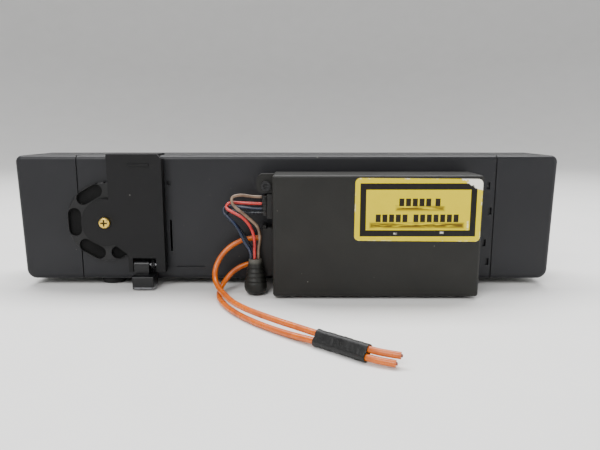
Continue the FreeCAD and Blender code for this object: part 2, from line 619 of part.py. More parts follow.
def make_laser_board():
    """The driver board on its four pegs, with its chips and a choke."""
    board = box("LaserPlate", (25, -15.6, 6), (52, 1.6, 42))
    holes = [rod(f"LaserPlateHole{n}", (x, -17, z), "screw_r", 4, "y")
             for n, (x, z) in enumerate(((29, 10), (29, 44), (67, 10), (67, 44)))]
    chips = [box(f"LaserChip{n}", (x, -15.6 - high, z), (wide, f"{high} + 0.2", tall))
             for n, (x, z, wide, tall, high) in enumerate(((40, 20, 12, 12, 1.6), (58, 24, 7, 5, 1.2),
                                                           (34, 36, 8, 4, 1.2), (57, 36, 5, 8, 3.5)))]
    choke = rod("LaserChoke", (53, -20, 12), 4, 4.6, "y")
    return node("laser_board", cut("LaserBoard", fuse("LaserParts", board, choke, *chips), *holes))


def make_board_screws():
    screws = []
    for n, (x, z) in enumerate(((29, 10), (29, 44), (67, 10), (67, 44))):
        head = rod(f"PegHead{n}", (x, -16.8, z), 2.2, 1.2, "y")
        screws.append(fuse(f"PegScrew{n}", head, rod(f"PegShank{n}", (x, -15.8, z), "screw_r", 5, "y")))
    for n, (x, y) in enumerate(((-30, 3), (-30, 18), (44, 3), (44, 18))):
        head = rod(f"MainHead{n}", (x, y, 47.8), 2.1, 1.2)
        screws.append(fuse(f"MainScrew{n}", head, rod(f"MainShank{n}", (x, y, 48.8), "screw_r", 6)))
    return node("board_screws", group("BoardScrews", *screws))


def make_laser_source():
    """Diode in its block, and the two prism cubes that share its beam between the fibres."""
    plate = box("SourcePlate", (4, -10, 7), (10, 1.4, 22))
    block = box("SourceBlock", (13, -17, 18.5), (9, 8.4, 10))
    bore = rod("SourceBore", (12, -12.5, 23.5), 2.8, 11, "x")
    node("diode_holder", cut("DiodeHolder", fuse("SourceSolid", plate, block), bore))
    can = rod("DiodeCan", (14, -12.5, 23.5), 2.8, 5, "x")
    pins = [rod(f"DiodePin{n}", (18.9, y, z), 0.25, 5.4, "x")
            for n, (y, z) in enumerate(((-12.5, 24.5), (-13.3, 23), (-11.7, 23)))]
    node("laser_diode", fuse("LaserDiode", can, *pins))
    cubes = [box(f"PrismCube{n}", (5, -15, z), (5, 5, 5)) for n, z in enumerate((21, 9.5))]
    return node("beam_splitter", group("BeamSplitter", *cubes))


def make_fibre_socket():
    """The moulded block that both fibres leave, with two top ridges, and the ferrules behind it."""
    block = box("SocketBlock", (-11, -16, 7), ("mod_left + 11", 7, 21.2))
    skin = rounded("SocketSkin", block, 0.8, lambda e: middle(e).x < -10.9)
    ridges = [box(f"SocketRidge{n}", (x, -15.6, 28), (wide, 6.2, high))
              for n, (x, wide, high) in enumerate(((-10.4, 1.6, 1.5), (-8.2, 2.8, 0.6)))]
    node("fibre_socket", fuse("FibreSocket", skin, *ridges))
    ferrules = [rod(f"Ferrule{n}", ("mod_left", -12.5, z), 1.9, 8.4, "x") for n, z in enumerate((23.5, 12))]
    return node("fibre_ferrules", group("FibreFerrules", *ferrules))


# ---------------------------------------------------------------- wires, boot and fibres

def make_wire_plug():
    node("wire_socket", box("WireSocketBlock", (-8, -21.5, 33.4), ("mod_left + 8", 9, 10.7)))
    plug = box("PlugBlock", (-10.5, -20.5, 34.2), (2.5, 7, 9.4))
    ribs = [box(f"PlugRib{n}", (-10.3, -20.9, z), (1.6, 1, 0.7)) for n, z in enumerate((36, 38.6, 41.2))]
    return node("wire_plug", fuse("WirePlug", plug, *ribs))


# Each wire runs from the plug's face to the top of the boot, and each point is a corner that its bend rounds.
WIRES = {
    "brown_wire": ((-10.5, -17, 42.3), (-14.5, -17, 42.3), (-19.2, -17.6, 43.3), (-23.4, -18.8, 42.6),
                   (-22.9, -19.8, 39.2), (-19.3, -20.6, 36.4), (-15.2, -21.2, 33.2), (-11.6, -21.8, 29.8),
                   (-11.0, -21.8, 24.8), (-11.9, -20.9, 20.6), (-11.9, -20.9, 16)),
    "red_wire": ((-10.5, -17, 39.4), (-14.5, -17, 39.4), (-20.5, -16.6, 39.7), (-24.6, -17.0, 40.0),
                 (-26.2, -18.2, 37.6), (-22.6, -19.2, 35.8), (-17.6, -20.4, 33.4), (-14.2, -21.6, 28.6),
                 (-13.3, -22.0, 23.4), (-13.5, -21.5, 19.8), (-13.5, -21.5, 16)),
    "blue_wire": ((-10.5, -17, 37.2), (-14.2, -17, 37.2), (-20.4, -15.4, 37.7), (-26.4, -15.8, 38.2),
                  (-27.4, -17.6, 35.6), (-23.4, -18.8, 32.6), (-20.0, -20.0, 28.0), (-17.6, -21.0, 22.6),
                  (-15.1, -20.9, 19.2), (-15.1, -20.9, 16)),
    "black_wire": ((-10.5, -17, 35.4), (-14, -17, 35.4), (-19.6, -14.8, 35.2), (-25.4, -14.4, 36.2),
                   (-26.3, -16.2, 33.2), (-22.0, -17.4, 30.6), (-18.4, -18.6, 26.4), (-16.0, -19.6, 21.6),
                   (-14.0, -19.2, 19.0), (-14.0, -19.2, 16)),
}

# Each fibre leaves the socket, hangs to the table and runs to a cut end past the shared sleeve.
FIBRES = {
    "fibre_upper": ((-11, -12.5, 23.5), (-15, -12.5, 23.5), (-20.5, -13.2, 22.4), (-26.6, -14.8, 18.8),
                    (-30.6, -17.2, 13.2), (-31.4, -20.6, 7.6), (-28.6, -27, 4.5), (-24.3, -35.6, 3.8),
                    (-20.1, -45.2, 4.0), (-12.8, -54.6, 4.0), (-2.2, -64.6, 3.8), (5.2, -71.2, 3.85),
                    (11.6, -77.4, 3.95), (19.5, -83.9, 4.0), (27.2, -90.6, 3.95), (31.8, -93.2, 3.8),
                    (36.6, -94.8, 3.7)),
    "fibre_lower": ((-11, -12.5, 12), (-14.5, -12.5, 12), (-18.9, -13.2, 11.3), (-23.6, -14.4, 8.9),
                    (-27.2, -16.8, 5.0), (-28.9, -21.4, 2.0), (-28.3, -29.0, 1.25), (-25.2, -37.6, 1.2),
                    (-21.4, -45.0, 1.2), (-15.8, -53.2, 1.2), (-8.6, -61.6, 1.2), (-0.4, -69.4, 1.3),
                    (5.6, -74.6, 1.6), (10.7, -78.5, 1.85), (18.6, -85.0, 1.9), (26.3, -91.7, 1.85),
                    (30.6, -94.3, 1.7), (34.9, -95.9, 1.6)),
}


def make_wires():
    for label, points in WIRES.items():
        tube(label, points, "wire_r")


def make_boot():
    """The flared rubber boot that gathers the wires, with its neck into the bar."""
    profile = ((0, 0.8), ("boot_r - 1.2", 0.8), ("boot_r", 3), ("boot_r - 0.2", 7),
               ("boot_top_r + 0.5", 12.5), ("boot_top_r", "boot_top"), (0, "boot_top"))
    skirt = revolve("BootSkirt", ("boot_x", "boot_y", 0), profile)
    neck = rod("BootNeck", ("boot_x", "boot_y + 2", 7.6), 1.8, "bar_back - boot_y + 1", "y")
    return node("cable_boot", fuse("CableBoot", skirt, neck))


def make_fibres():
    """Both fibres, the cut cores at their ends and the shrink sleeve that ties them."""
    cores = []
    for label, points in FIBRES.items():
        tube(label, points, "fibre_r")
        end = Vector(*points[-1])
        way = (end - Vector(*points[-2])).normalize()
        core = doc.addObject("Part::Cylinder", f"{label}Core")
        core.setExpression("Radius", bound("core_r"))
        core.Height = 0.5
        core.Placement = Placement(end, Rotation(Vector(0, 0, 1), way))
        cores.append(core)
    node("fibre_core_ends", group("FibreCoreEnds", *cores))
    upper, lower = (Vector(*FIBRES[label][-5]) for label in FIBRES)
    far_upper, far_lower = (Vector(*FIBRES[label][-3]) for label in FIBRES)
    spine = ((far_upper + far_lower) - (upper + lower)).normalize()
    start = (upper + lower) * 0.5 + spine * 0.2
    across = upper - lower
    across = (across - spine * across.dot(spine)).normalize()
    half = value("fibre_r + 0.1")
    shells = []
    for name, extra in (("SleeveOuter", 0.2 + value("sleeve_wall")), ("SleeveInner", 0.2)):
        radius = value("fibre_r") + extra
        reach = 0 if extra > 0.3 else 1
        bars = []
        for n, side in enumerate((-1, 1)):
            bar = doc.addObject("Part::Cylinder", f"{name}Bar{n}")
            bar.Radius = radius
            bar.Height = value("sleeve_long") + 2 * reach
            foot = start - spine * reach + across * side * half
            bar.Placement = Placement(foot, Rotation(Vector(0, 0, 1), spine))
            bars.append(bar)
        slab = doc.addObject("Part::Box", f"{name}Slab")
        slab.Length = value("sleeve_long") + 2 * reach
        slab.Width = 2 * half
        slab.Height = 2 * radius
        thick_way = spine.cross(across)
        turn = Rotation(spine, across, thick_way, "XYZ")
        slab.Placement = Placement(start - spine * reach - across * half - thick_way * radius, turn)
        shells.append(fuse(name, slab, *bars))
    return node("fibre_sleeve", cut("FibreSleeve", *shells))


# ---------------------------------------------------------------- optics inside the bar

def make_bench():
    plate = box("BenchPlate", (-74, -3.5, 12), (144, 27, 3))
    edge = rounded("BenchEdge", plate, 2, lambda e: runs_along(e, 2))
    spots = ((-52, -0.5), (-52, 20.5), (56, -0.5), (56, 20.5))
    holes = [rod(f"BenchBolt{n}", (x, y, 11), "screw_r", 5) for n, (x, y) in enumerate(spots)]
    holes.append(rod("TableBore", (20, 14, 11), 1.5, 5))
    node("optical_bench", cut("OpticalBench", edge, *holes))
    screws = [fuse(f"BenchScrew{n}", rod(f"BenchHead{n}", (x, y, 15), 2.2, 1.3),
                   rod(f"BenchShank{n}", (x, y, 7), "screw_r", 8.5)) for n, (x, y) in enumerate(spots)]
    return node("bench_screws", group("BenchScrews", *screws))


def make_entrance():
    """Fold mirror on its wedge, then the slit in its plate."""
    at = ("window_x", 14, 0)
    wedge = turned_box("MirrorBack", at, -45, (-9, -6, 15), (18, 4, 27))
    foot = turned_box("MirrorFoot", at, -45, (-9, -8, 15), (18, 9, 3))
    node("mirror_mount", fuse("MirrorMount", wedge, foot))
    node("fold_mirror", turned_box("FoldMirror", at, -45, (-9, -2, 21), (18, 2, 19)))
    plate = box("SlitPlate", (-47, 5, 15), (3, 18, 27))
    window = rod("SlitWindow", (-48, 14, "optic_height"), 4, 6, "x")
    node("slit_holder", cut("SlitHolder", plate, window))
    blades = [box(f"SlitBlade{n}", (-47.4, y, "optic_height - 6"), (0.4, 6.9, 12))
              for n, y in enumerate((7, 14.1))]
    return node("slit_blades", group("SlitBlades", *blades))


def lens(name, at, angle, distance, radius, curve, thick):
    """A biconvex lens on an axis turned about Z through a point, its middle at a distance along it."""
    spin = Rotation(Vector(0, 0, 1), angle)
    origin = Vector(*[value(text) for text in at])
    pieces = []
    for n, side in enumerate((-1, 1)):
        ball = doc.addObject("Part::Sphere", f"{name}Ball{n}")
        ball.Radius = curve
        ball.Placement.Base = origin + spin.multVec(Vector(distance + side * (curve - thick / 2), 0, 0))
        pieces.append(ball)
    barrel = doc.addObject("Part::Cylinder", f"{name}Barrel")
    barrel.Radius = radius
    barrel.Height = thick + 2
    way = spin.multVec(Vector(1, 0, 0))
    barrel.Placement = Placement(origin + way * (distance - thick / 2 - 1), Rotation(Vector(0, 0, 1), way))
    pieces.append(barrel)
    thing = doc.addObject("Part::MultiCommon", name)
    thing.Shapes = pieces
    return thing


def aimed_rod(name, at, angle, start, radius, length):
    """A cylinder along an axis that is turned about Z through a point."""
    way = Rotation(Vector(0, 0, 1), angle).multVec(Vector(1, 0, 0))
    thing = doc.addObject("Part::Cylinder", name)
    thing.Radius = radius
    thing.Height = length
    base = Vector(*[value(text) for text in at]) + way * start
    thing.Placement = Placement(base, Rotation(Vector(0, 0, 1), way))
    return thing


def make_tube_set(label, at, angle, start, length, outer):
    """A lens tube on its saddle, with the lens and the ring that holds it near its front."""
    name = label.title()
    ground = (at[0], at[1], 0)
    barrel = aimed_rod(f"{name}Barrel", at, angle, start, outer, length)
    saddle = turned_box(f"{name}Saddle", ground, angle, (start + 4, -4, 15), (length - 12, 8, 14))
    bore = aimed_rod(f"{name}Bore", at, angle, start - 1, outer - 1.3, length + 2)
    node(f"{label}_tube", cut(f"{name}Tube", fuse(f"{name}Solid", barrel, saddle), bore))
    near = start + length - 4.5 if label == "collimator" else start + 4.5
    node(f"{label}_lens", lens(f"{name}Lens", at, angle, near, outer - 1.3, 14, 2.6))
    side = start + length - 2.4 if label == "collimator" else start + 0.6
    ring = cut(f"{name}Ring", aimed_rod(f"{name}RingOut", at, angle, side, outer - 1.3, 1.8),
               aimed_rod(f"{name}RingIn", at, angle, side - 1, outer - 2.4, 4))
    node(f"{label}_ring", ring)


def make_grating():
    """The turntable on its pin, with the grating in its frame."""
    disc = rod("TableDisc", (20, 14, 15.3), 9.4, 3)
    posts = [box(f"TablePost{n}", (18.5, y, 18), (3, 1.8, 23)) for n, y in enumerate((5.4, 20.8))]
    bars = [box(f"TableBar{n}", (18.5, 5.4, z), (3, 17.2, 1.5)) for n, z in enumerate((20.6, 39.5))]
    bore = rod("TablePinBore", (20, 14, 14), 1.56, 6)
    node("grating_turntable", cut("GratingTurntable", fuse("TableSolid", disc, *posts, *bars), bore))
    node("grating", box("GratingPlate", (19.3, 7.2, 22.1), (1.4, 13.6, 17.4)))
    pin = fuse("TablePin", rod("TablePinShank", (20, 14, 12), 1.5, 6.8),
               rod("TablePinHead", (20, 14, 18.7), 2.6, 1.2))
    return node("turntable_pin", pin)


def make_sensor():
    """The line sensor on its upright board, square to the camera tube."""
    at = (20, 14, 0)
    board = turned_box("SensorPlate", at, -14, (42, -8, 15), (1.6, 16, 32))
    socket = turned_box("SensorSocket", at, -14, (43.5, -6, 19), (3.6, 12, 5))
    node("sensor_board", fuse("SensorBoard", board, socket))
    return node("sensor_chip", turned_box("SensorChip", at, -14, (40.8, -6.5, 28), (1.2, 13, 6)))


def make_main_board():
    board = box("MainPlate", (-38, -2, 49), (90, 24, 1.6))
    spots = ((-30, 3), (-30, 18), (44, 3), (44, 18))
    holes = [rod(f"MainPlateHole{n}", (x, y, 48), "screw_r", 4) for n, (x, y) in enumerate(spots)]
    chips = [box(f"MainChip{n}", (x, y, 50.5), (wide, deep, high + 0.1))
             for n, (x, y, wide, deep, high) in enumerate(((-12, 4, 14, 14, 1.6), (10, 6, 9, 6, 1.2),
                                                           (26, 3, 6, 12, 4.5), (-24, 8, 5, 6, 3)))]
    return node("main_board", cut("MainBoard", fuse("MainParts", board, *chips), *holes))


def make_everything():
    make_rear_shell()
    make_front_cover()
    for side, sign in (("left", -1), ("right", 1)):
        make_end_cap(side, sign)
        make_cap_seal(side, sign)
    make_housing_screws()
    make_feet()
    make_tripod_insert()
    make_window()
    make_thumbwheel()
    make_strap()
    make_pivot()
    make_latch()
    make_module_case()
    make_module_cover()
    make_module_screws()
    make_laser_board()
    make_board_screws()
    make_laser_source()
    make_fibre_socket()
    make_wire_plug()
    make_wires()
    make_boot()
    make_fibres()
    make_bench()
    make_entrance()
    axis = "optic_height"
    make_tube_set("collimator", (-36, 14, axis), 0, 0, 30, 6.5)
    make_tube_set("camera", (20, 14, axis), -14, 13.5, 24, 6)
    make_grating()
    make_sensor()
    make_main_board()


def export():
    """Stops on any object that failed, then writes one STEP file for each node."""
    doc.recompute()
    for thing in doc.Objects:
        if "Invalid" in thing.State or "Error" in thing.State:
            raise RuntimeError(f"{thing.Name} failed: {thing.State}")
    os.makedirs("parts", exist_ok=True)
    for label, thing in parts.items():
        if thing.Shape.isNull() or not thing.Shape.isValid() or thing.Shape.Volume <= 0:
            raise RuntimeError(f"{label} has no sound shape")
        thing.Shape.exportStep(f"parts/{label}.step")
    print(len(parts), "nodes")


make_everything()
export()
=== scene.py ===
# %% [markdown]
# # A black spectroscope with two orange fibres
# The instrument was designed in a CAD program, and this lesson dresses it. The long black bar, the laser
# box on its back and the strap with its wheel arrive as a frame of finished parts. We keep the shapes
# that are right, model again what is soft, turned or worn, and give every piece a finish made of shader
# nodes. The first cell loads the frame and writes down how big it is, before anything is added.

# %% Load the frame
import json
import math
import random
import bmesh
import bpy
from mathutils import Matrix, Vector


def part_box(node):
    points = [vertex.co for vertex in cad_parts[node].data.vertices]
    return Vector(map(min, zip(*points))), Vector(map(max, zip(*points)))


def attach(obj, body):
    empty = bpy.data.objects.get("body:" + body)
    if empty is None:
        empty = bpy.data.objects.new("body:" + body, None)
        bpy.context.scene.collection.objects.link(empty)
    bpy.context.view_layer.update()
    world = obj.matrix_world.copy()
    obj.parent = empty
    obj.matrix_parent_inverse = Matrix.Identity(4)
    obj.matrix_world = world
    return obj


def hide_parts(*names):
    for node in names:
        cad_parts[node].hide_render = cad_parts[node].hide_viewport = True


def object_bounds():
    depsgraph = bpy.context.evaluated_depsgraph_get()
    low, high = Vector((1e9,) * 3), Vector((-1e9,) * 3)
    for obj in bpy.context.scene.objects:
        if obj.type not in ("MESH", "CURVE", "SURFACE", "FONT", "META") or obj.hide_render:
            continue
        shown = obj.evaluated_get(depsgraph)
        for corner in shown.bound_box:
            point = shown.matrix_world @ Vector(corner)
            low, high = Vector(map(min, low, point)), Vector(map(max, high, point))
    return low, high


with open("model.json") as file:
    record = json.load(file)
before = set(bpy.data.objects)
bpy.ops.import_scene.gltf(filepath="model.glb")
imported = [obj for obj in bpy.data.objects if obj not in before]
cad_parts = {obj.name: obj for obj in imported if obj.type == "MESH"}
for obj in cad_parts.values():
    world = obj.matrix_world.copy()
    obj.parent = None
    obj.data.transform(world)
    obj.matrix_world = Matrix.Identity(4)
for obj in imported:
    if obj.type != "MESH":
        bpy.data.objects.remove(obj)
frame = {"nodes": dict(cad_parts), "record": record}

MM = 0.001
cad_low, cad_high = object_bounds()
nodes = frame["nodes"]
slot_of = {part["node"]: part["material_slot"] for part in frame["record"]["subparts"]}
print(len(nodes), "CAD nodes, box in mm:", [round(side / MM, 1) for side in cad_high - cad_low])

# %% [markdown]
# ## The camera
# The lens stands a hand's breadth above the table, a quarter of a metre from the bar's back, and looks
# ten degrees down. That is close enough for the near end of a fibre to look thicker than the far one. A
# long lens from further away would be kinder to straight lines, but then the top of the bar would not
# show as a thin bright band.

# %% Stand the camera behind the bar
back_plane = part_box("rear_shell")[1].y - 0.0318
camera_away, camera_height, camera_down = 0.24206, 0.07092, math.radians(10)
lens_data = bpy.data.cameras.new("camera")
lens_data.lens = 32.54
lens_data.sensor_width = 36
lens_data.clip_start = 0.01
camera = bpy.data.objects.new("camera", lens_data)
bpy.context.scene.collection.objects.link(camera)
camera.location = (0.00602, back_plane - camera_away, camera_height)
camera.rotation_euler = (math.pi / 2 - camera_down, 0, 0)
bpy.context.scene.camera = camera
print("camera at", [round(c, 3) for c in camera.location])

# %% [markdown]
# ## Sums with sockets
# A finish is a small sum: grain plus dust, times wear. Written as nodes that takes pages, so one class
# wraps a socket and lets Python's own signs add the Math nodes. A second class holds the material being
# made, and its one method adds any other node: its type, its settings, and what goes into its sockets.

# %% A value that does sums
class Value:
    """A socket that answers to +, -, *, %, < and abs(), with numbers or other sockets."""

    def __init__(self, finish, socket):
        self.finish, self.socket = finish, socket

    def sum(self, operation, first, second):
        return self.finish.add("ShaderNodeMath", {"operation": operation}, {0: first, 1: second})

    def __add__(self, other):
        return self.sum("ADD", self, other)

    def __radd__(self, other):
        return self.sum("ADD", other, self)

    def __sub__(self, other):
        return self.sum("SUBTRACT", self, other)

    def __rsub__(self, other):
        return self.sum("SUBTRACT", other, self)

    def __mul__(self, other):
        return self.sum("MULTIPLY", self, other)

    def __rmul__(self, other):
        return self.sum("MULTIPLY", other, self)

    def __lt__(self, other):
        return self.sum("LESS_THAN", self, other)

    def __mod__(self, other):
        return self.sum("FLOORED_MODULO", self, other)

    def __abs__(self):
        return self.sum("ABSOLUTE", self, 0)

    def either(self, other):
        return self.sum("MAXIMUM", self, other)

    def rise(self, low, high):
        """0 below low, 1 above high, and smooth between; the other way round when low is the larger."""
        return self.finish.add("ShaderNodeMapRange", {"interpolation_type": "SMOOTHSTEP"},
                               {"Value": self, "From Min": low, "From Max": high})


# %% A material under construction
class Finish:
    """One material: its Principled shader and a method that adds any node."""

    def __init__(self, name):
        self.material = bpy.data.materials.new(name)
        self.material.use_nodes = True
        self.tree = self.material.node_tree
        self.shader = self.tree.nodes["Principled BSDF"]

    def add(self, kind, settings=None, inputs=None, output=0):
        node = self.tree.nodes.new(kind)
        for name, setting in (settings or {}).items():
            setattr(node, name, setting)
        for name, given in (inputs or {}).items():
            self.feed(node.inputs[name], given)
        return Value(self, node.outputs[output])

    def feed(self, socket, given):
        if isinstance(given, Value):
            self.tree.links.new(given.socket, socket)
        else:
            socket.default_value = given

    def surface(self, **inputs):
        """Sets the shader's sockets: coat_weight=0.3 goes into Coat Weight."""
        for name, given in inputs.items():
            title = name.replace("_", " ").title().replace("Ior", "IOR")
            if title in ("Base Color", "Emission Color") and not isinstance(given, Value):
                given = (*given, 1)
            self.feed(self.shader.inputs[title], given)
        return self.material

    def here(self):
        return self.add("ShaderNodeTexCoord", output="Object")

    def along(self, axis):
        """The place along X, Y or Z in millimetres."""
        return self.add("ShaderNodeSeparateXYZ", inputs={0: self.here()}, output="XYZ".index(axis)) * 1000

    def noise(self, size_mm, detail=3.0, stretch=(1, 1, 1)):
        where = self.add("ShaderNodeMapping", inputs={0: self.here(), "Scale": stretch})
        dials = {"Vector": where, "Scale": 1 / (size_mm * MM), "Detail": detail}
        return self.add("ShaderNodeTexNoise", inputs=dials)

    def specks(self, spacing_mm, size_mm, share):
        """Round dots scattered at a spacing, of which only a share is there, in uneven sizes."""
        cells = {"Vector": self.here(), "Scale": 1 / (spacing_mm * MM)}
        distance = self.add("ShaderNodeTexVoronoi", inputs=cells)
        colour = self.add("ShaderNodeTexVoronoi", inputs=cells, output="Color")
        chance = self.add("ShaderNodeSeparateColor", inputs={0: colour})
        reach = (chance - (1 - share)) * (size_mm / spacing_mm / share)
        return (reach - distance).rise(0, 0.35 * size_mm / spacing_mm)

    def blend(self, amount, first, second):
        """The first colour where the amount is 0, the second where it is 1, and a mix between."""
        given = [c if isinstance(c, Value) else (*c, 1) for c in (first, second)]
        return self.add("ShaderNodeMix", {"data_type": "RGBA"}, {0: amount, 6: given[0], 7: given[1]}, 2)

    def bump(self, height, depth_mm, strength=1.0):
        """A normal from a height of 0 to 1 that stands for a depth."""
        dials = {"Height": height, "Distance": depth_mm * MM, "Strength": strength}
        return self.add("ShaderNodeBump", inputs=dials)


print("ready to mix finishes")

# %% [markdown]
# ## Black plastic
# The bar, its end caps and the laser box are moulded in black plastic, yet no two of them look the same
# black. The bar is satin with a fine sparkle, the box is matt and dusty, the latch is polished by
# fingers. Black shows its finish only in how it breaks a highlight, so the work goes into roughness:
# grain from a small noise, rubbed patches from a large one, and pale dust on top. One recipe makes them
# all. The wheel's finger pockets get painted shade, so their colour falls off with depth, and a pale
# band is painted along the latch foot's lower edge as a highlight, broken up by noise.

# %% Moulded plastic
def moulded(name, colour, rough, grain_mm, grain_deep, dust, rub=0.05, shaded_pocket_y=None, highlight_below=None):
    finish = Finish(name)
    grain = finish.noise(grain_mm, 2)
    cloud = finish.noise(30, 3)
    rubbed = finish.noise(9, 5).rise(0.52, 0.7)
    film = finish.noise(14, 5).rise(0.3, 0.8)
    lint = finish.specks(7, 0.55, 0.3 + dust * 0.12).either(finish.specks(3.1, 0.24, 0.35))
    tint = finish.blend(cloud.rise(0.3, 0.75) * 0.5, colour, tuple(c * 1.5 for c in colour))
    dust_and_painted_light = finish.blend(film * dust * 0.008 + lint * dust * 0.45, tint, (0.42, 0.40, 0.35))
    if shaded_pocket_y:
        # painted shade: the colour darkens with depth into the wheel's finger pockets
        pocket_shade = (finish.along("Y") - shaded_pocket_y).rise(0.3, 0.9)
        dust_and_painted_light = finish.blend(pocket_shade, dust_and_painted_light, tuple(c * 0.1 for c in colour))
        rough = rough + pocket_shade * 0.4
    if highlight_below:
        # painted highlight: a pale band along the latch foot's lower edge, broken up by noise
        edge_highlight = finish.along("Z").rise(highlight_below, highlight_below - 0.3)
        edge_highlight = edge_highlight * finish.noise(1.6, 3).rise(0.3, 0.5)
        dust_and_painted_light = finish.blend(edge_highlight, dust_and_painted_light, (0.16, 0.16, 0.17))
    return finish.surface(
        base_color=dust_and_painted_light,
        roughness=rough + (grain - 0.5) * 0.16 - rubbed * rub + lint * 0.3 + film * dust * 0.08,
        specular_ior_level=0.3,
        normal=finish.bump(grain + rubbed * 0.3, grain_deep))


wheel_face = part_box("thumbwheel")[0].y / MM
latch_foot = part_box("release_latch")[0].z / MM
plastics = {
    "bar_plastic": moulded("bar_plastic", (0.0078, 0.0080, 0.0098), 0.42, 0.5, 0.012, 0.35),
    "module_plastic": moulded("module_plastic", (0.0068, 0.0067, 0.0056), 0.5, 0.6, 0.015, 1.0, 0.06),
    "wheel_plastic": moulded("wheel_plastic", (0.0058, 0.0058, 0.0062), 0.46, 0.4, 0.01, 0.5,
                             shaded_pocket_y=wheel_face),
    "latch_plastic": moulded("latch_plastic", (0.0038, 0.0038, 0.0045), 0.3, 0.8, 0.006, 0.25,
                             highlight_below=latch_foot + 1.2),
    "connector": moulded("connector", (0.006, 0.0055, 0.005), 0.38, 0.5, 0.006, 0.3),
    "sensor": moulded("sensor", (0.03, 0.03, 0.035), 0.25, 0.5, 0.003, 0.1),
}
print(len(plastics), "plastics")

# %% [markdown]
# ## Rubber
# Seals, feet, the boot and the shrink sleeve are rubber or something like it: dull, a little grey where
# it has been handled, with a soft bump that is wider than the plastic's grain. The sleeve was shrunk with
# heat, so its skin is finely wrinkled round the fibres. Noise stretched along one axis gives those rings.

# %% Rubber and shrink sleeve
def rubber(name, colour, rough, wrinkle_mm, deep, stretch=(1, 1, 1), paler_above=None):
    finish = Finish(name)
    wrinkles = finish.noise(wrinkle_mm, 3, stretch)
    bloom = finish.noise(4, 4).rise(0.4, 0.8)
    lint = finish.specks(3.4, 0.3, 0.3)
    worn = finish.blend(bloom * 0.35 + lint * 0.4, colour, tuple(c * 1.8 + 0.003 for c in colour))
    if paler_above:
        # the colour turns paler above this height, towards the top of the boot
        paler_top = (finish.along("Z") + bloom * 0.8).rise(paler_above, paler_above + 1.6)
        worn = finish.blend(paler_top * 0.55, worn, (0.13, 0.125, 0.105))
    return finish.surface(base_color=worn, roughness=rough + bloom * 0.12 + (wrinkles - 0.5) * 0.1,
                          specular_ior_level=0.35, normal=finish.bump(wrinkles, deep))


rubbers = {
    "rubber": rubber("rubber", (0.006, 0.006, 0.006), 0.7, 1.2, 0.05),
    "boot_rubber": rubber("boot_rubber", (0.0075, 0.0078, 0.006), 0.5, 1.6, 0.08, paler_above=13.6),
    "shrink_sleeve": rubber("shrink_sleeve", (0.0045, 0.0045, 0.0045), 0.42, 0.9, 0.12, (1.6, 1.2, 0.5)),
}
print(len(rubbers), "rubbers")

# %% [markdown]
# ## Metal
# Three kinds of metal show: the yellow passivated screw in the wheel, plain brass inserts, and steel or
# aluminium inside. Machined metal has fine lines from the tool, so its noise is squeezed a great deal
# along one axis. The black screws and the strap are painted, and paint chips to a paler grey in small
# spots. The recess of the yellow screw is darkened by depth as painted shade, since a tiny hole gets
# little light.

# %% Machined and painted metal
def machined(name, colour, rough, stain, stretch=(1, 1, 8), recess=None):
    finish = Finish(name)
    lines = finish.noise(0.5, 2, stretch)
    spots = finish.noise(1.8, 4).rise(0.45, 0.75)
    tone = finish.blend(spots, colour, stain)
    if recess:
        # painted shade: the screw's recess is darkened with depth
        across, up = finish.along("X") - recess.x, finish.along("Z") - recess.z
        recess_shade = (across * across + up * up).rise(2.2, 1.6) * (finish.along("Y") - recess.y).rise(0.05, 0.4)
        tone = finish.blend(recess_shade, tone, tuple(c * 0.12 for c in stain))
    return finish.surface(base_color=tone, metallic=1.0, roughness=rough + lines * 0.14 + spots * 0.12,
                          normal=finish.bump(lines, 0.006))


def painted(name, colour, rough, chip_share):
    finish = Finish(name)
    orange_peel = finish.noise(0.9, 2)
    patches = finish.noise(6, 5)
    chips = finish.specks(4.3, 0.5, chip_share)
    tone = finish.blend(patches.rise(0.4, 0.8) * 0.5, colour, tuple(c * 1.8 for c in colour))
    return finish.surface(base_color=finish.blend(chips * 0.5, tone, (0.22, 0.21, 0.2)),
                          specular_ior_level=0.26,
                          roughness=rough + (patches - 0.5) * 0.2, normal=finish.bump(orange_peel, 0.012))


screw_low, screw_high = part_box("pivot_screw")
screw_face = Vector(((screw_low.x + screw_high.x) / 2, screw_low.y, (screw_low.z + screw_high.z) / 2)) / MM
metals = {
    "yellow_zinc": machined("yellow_zinc", (0.74, 0.52, 0.10), 0.26, (0.46, 0.34, 0.12), recess=screw_face),
    "brass": machined("brass", (0.72, 0.52, 0.20), 0.24, (0.45, 0.30, 0.12)),
    "steel": machined("steel", (0.22, 0.22, 0.23), 0.42, (0.13, 0.13, 0.14)),
    "bright_metal": machined("bright_metal", (0.66, 0.66, 0.68), 0.3, (0.5, 0.5, 0.52)),
    "silvered": machined("silvered", (0.92, 0.92, 0.94), 0.03, (0.88, 0.88, 0.9)),
    "black_metal": painted("black_metal", (0.012, 0.012, 0.014), 0.4, 0.1),
    "black_screws": painted("black_screws", (0.012, 0.012, 0.013), 0.36, 0.2),
    "strap_black": painted("strap_black", (0.0018, 0.0018, 0.0022), 0.56, 0.14),
}
print(len(metals), "metals")

# %% [markdown]
# ## Jackets and wires
# The fibres wear an extruded orange jacket. It is nearly one colour, but it has a slight unevenness from
# the extruder, a little grime, and a skin that is glossier than it looks. The thin wires get
# the same recipe with their own colours; the brown one is a pale tan, lightened as a painted sheen.

# %% Extruded plastic
def extruded(name, colour, shade, rough, grime):
    finish = Finish(name)
    wave = finish.noise(3.5, 2)
    smudge = finish.noise(7, 5).rise(0.5, 0.75)
    tone = finish.blend(wave.rise(0.3, 0.75), colour, shade)
    dirty = finish.blend(smudge * grime, tone, tuple(c * 0.35 for c in shade))
    return finish.surface(base_color=dirty, roughness=rough + smudge * 0.18 + (wave - 0.5) * 0.1,
                          specular_ior_level=0.5, normal=finish.bump(wave, 0.03))


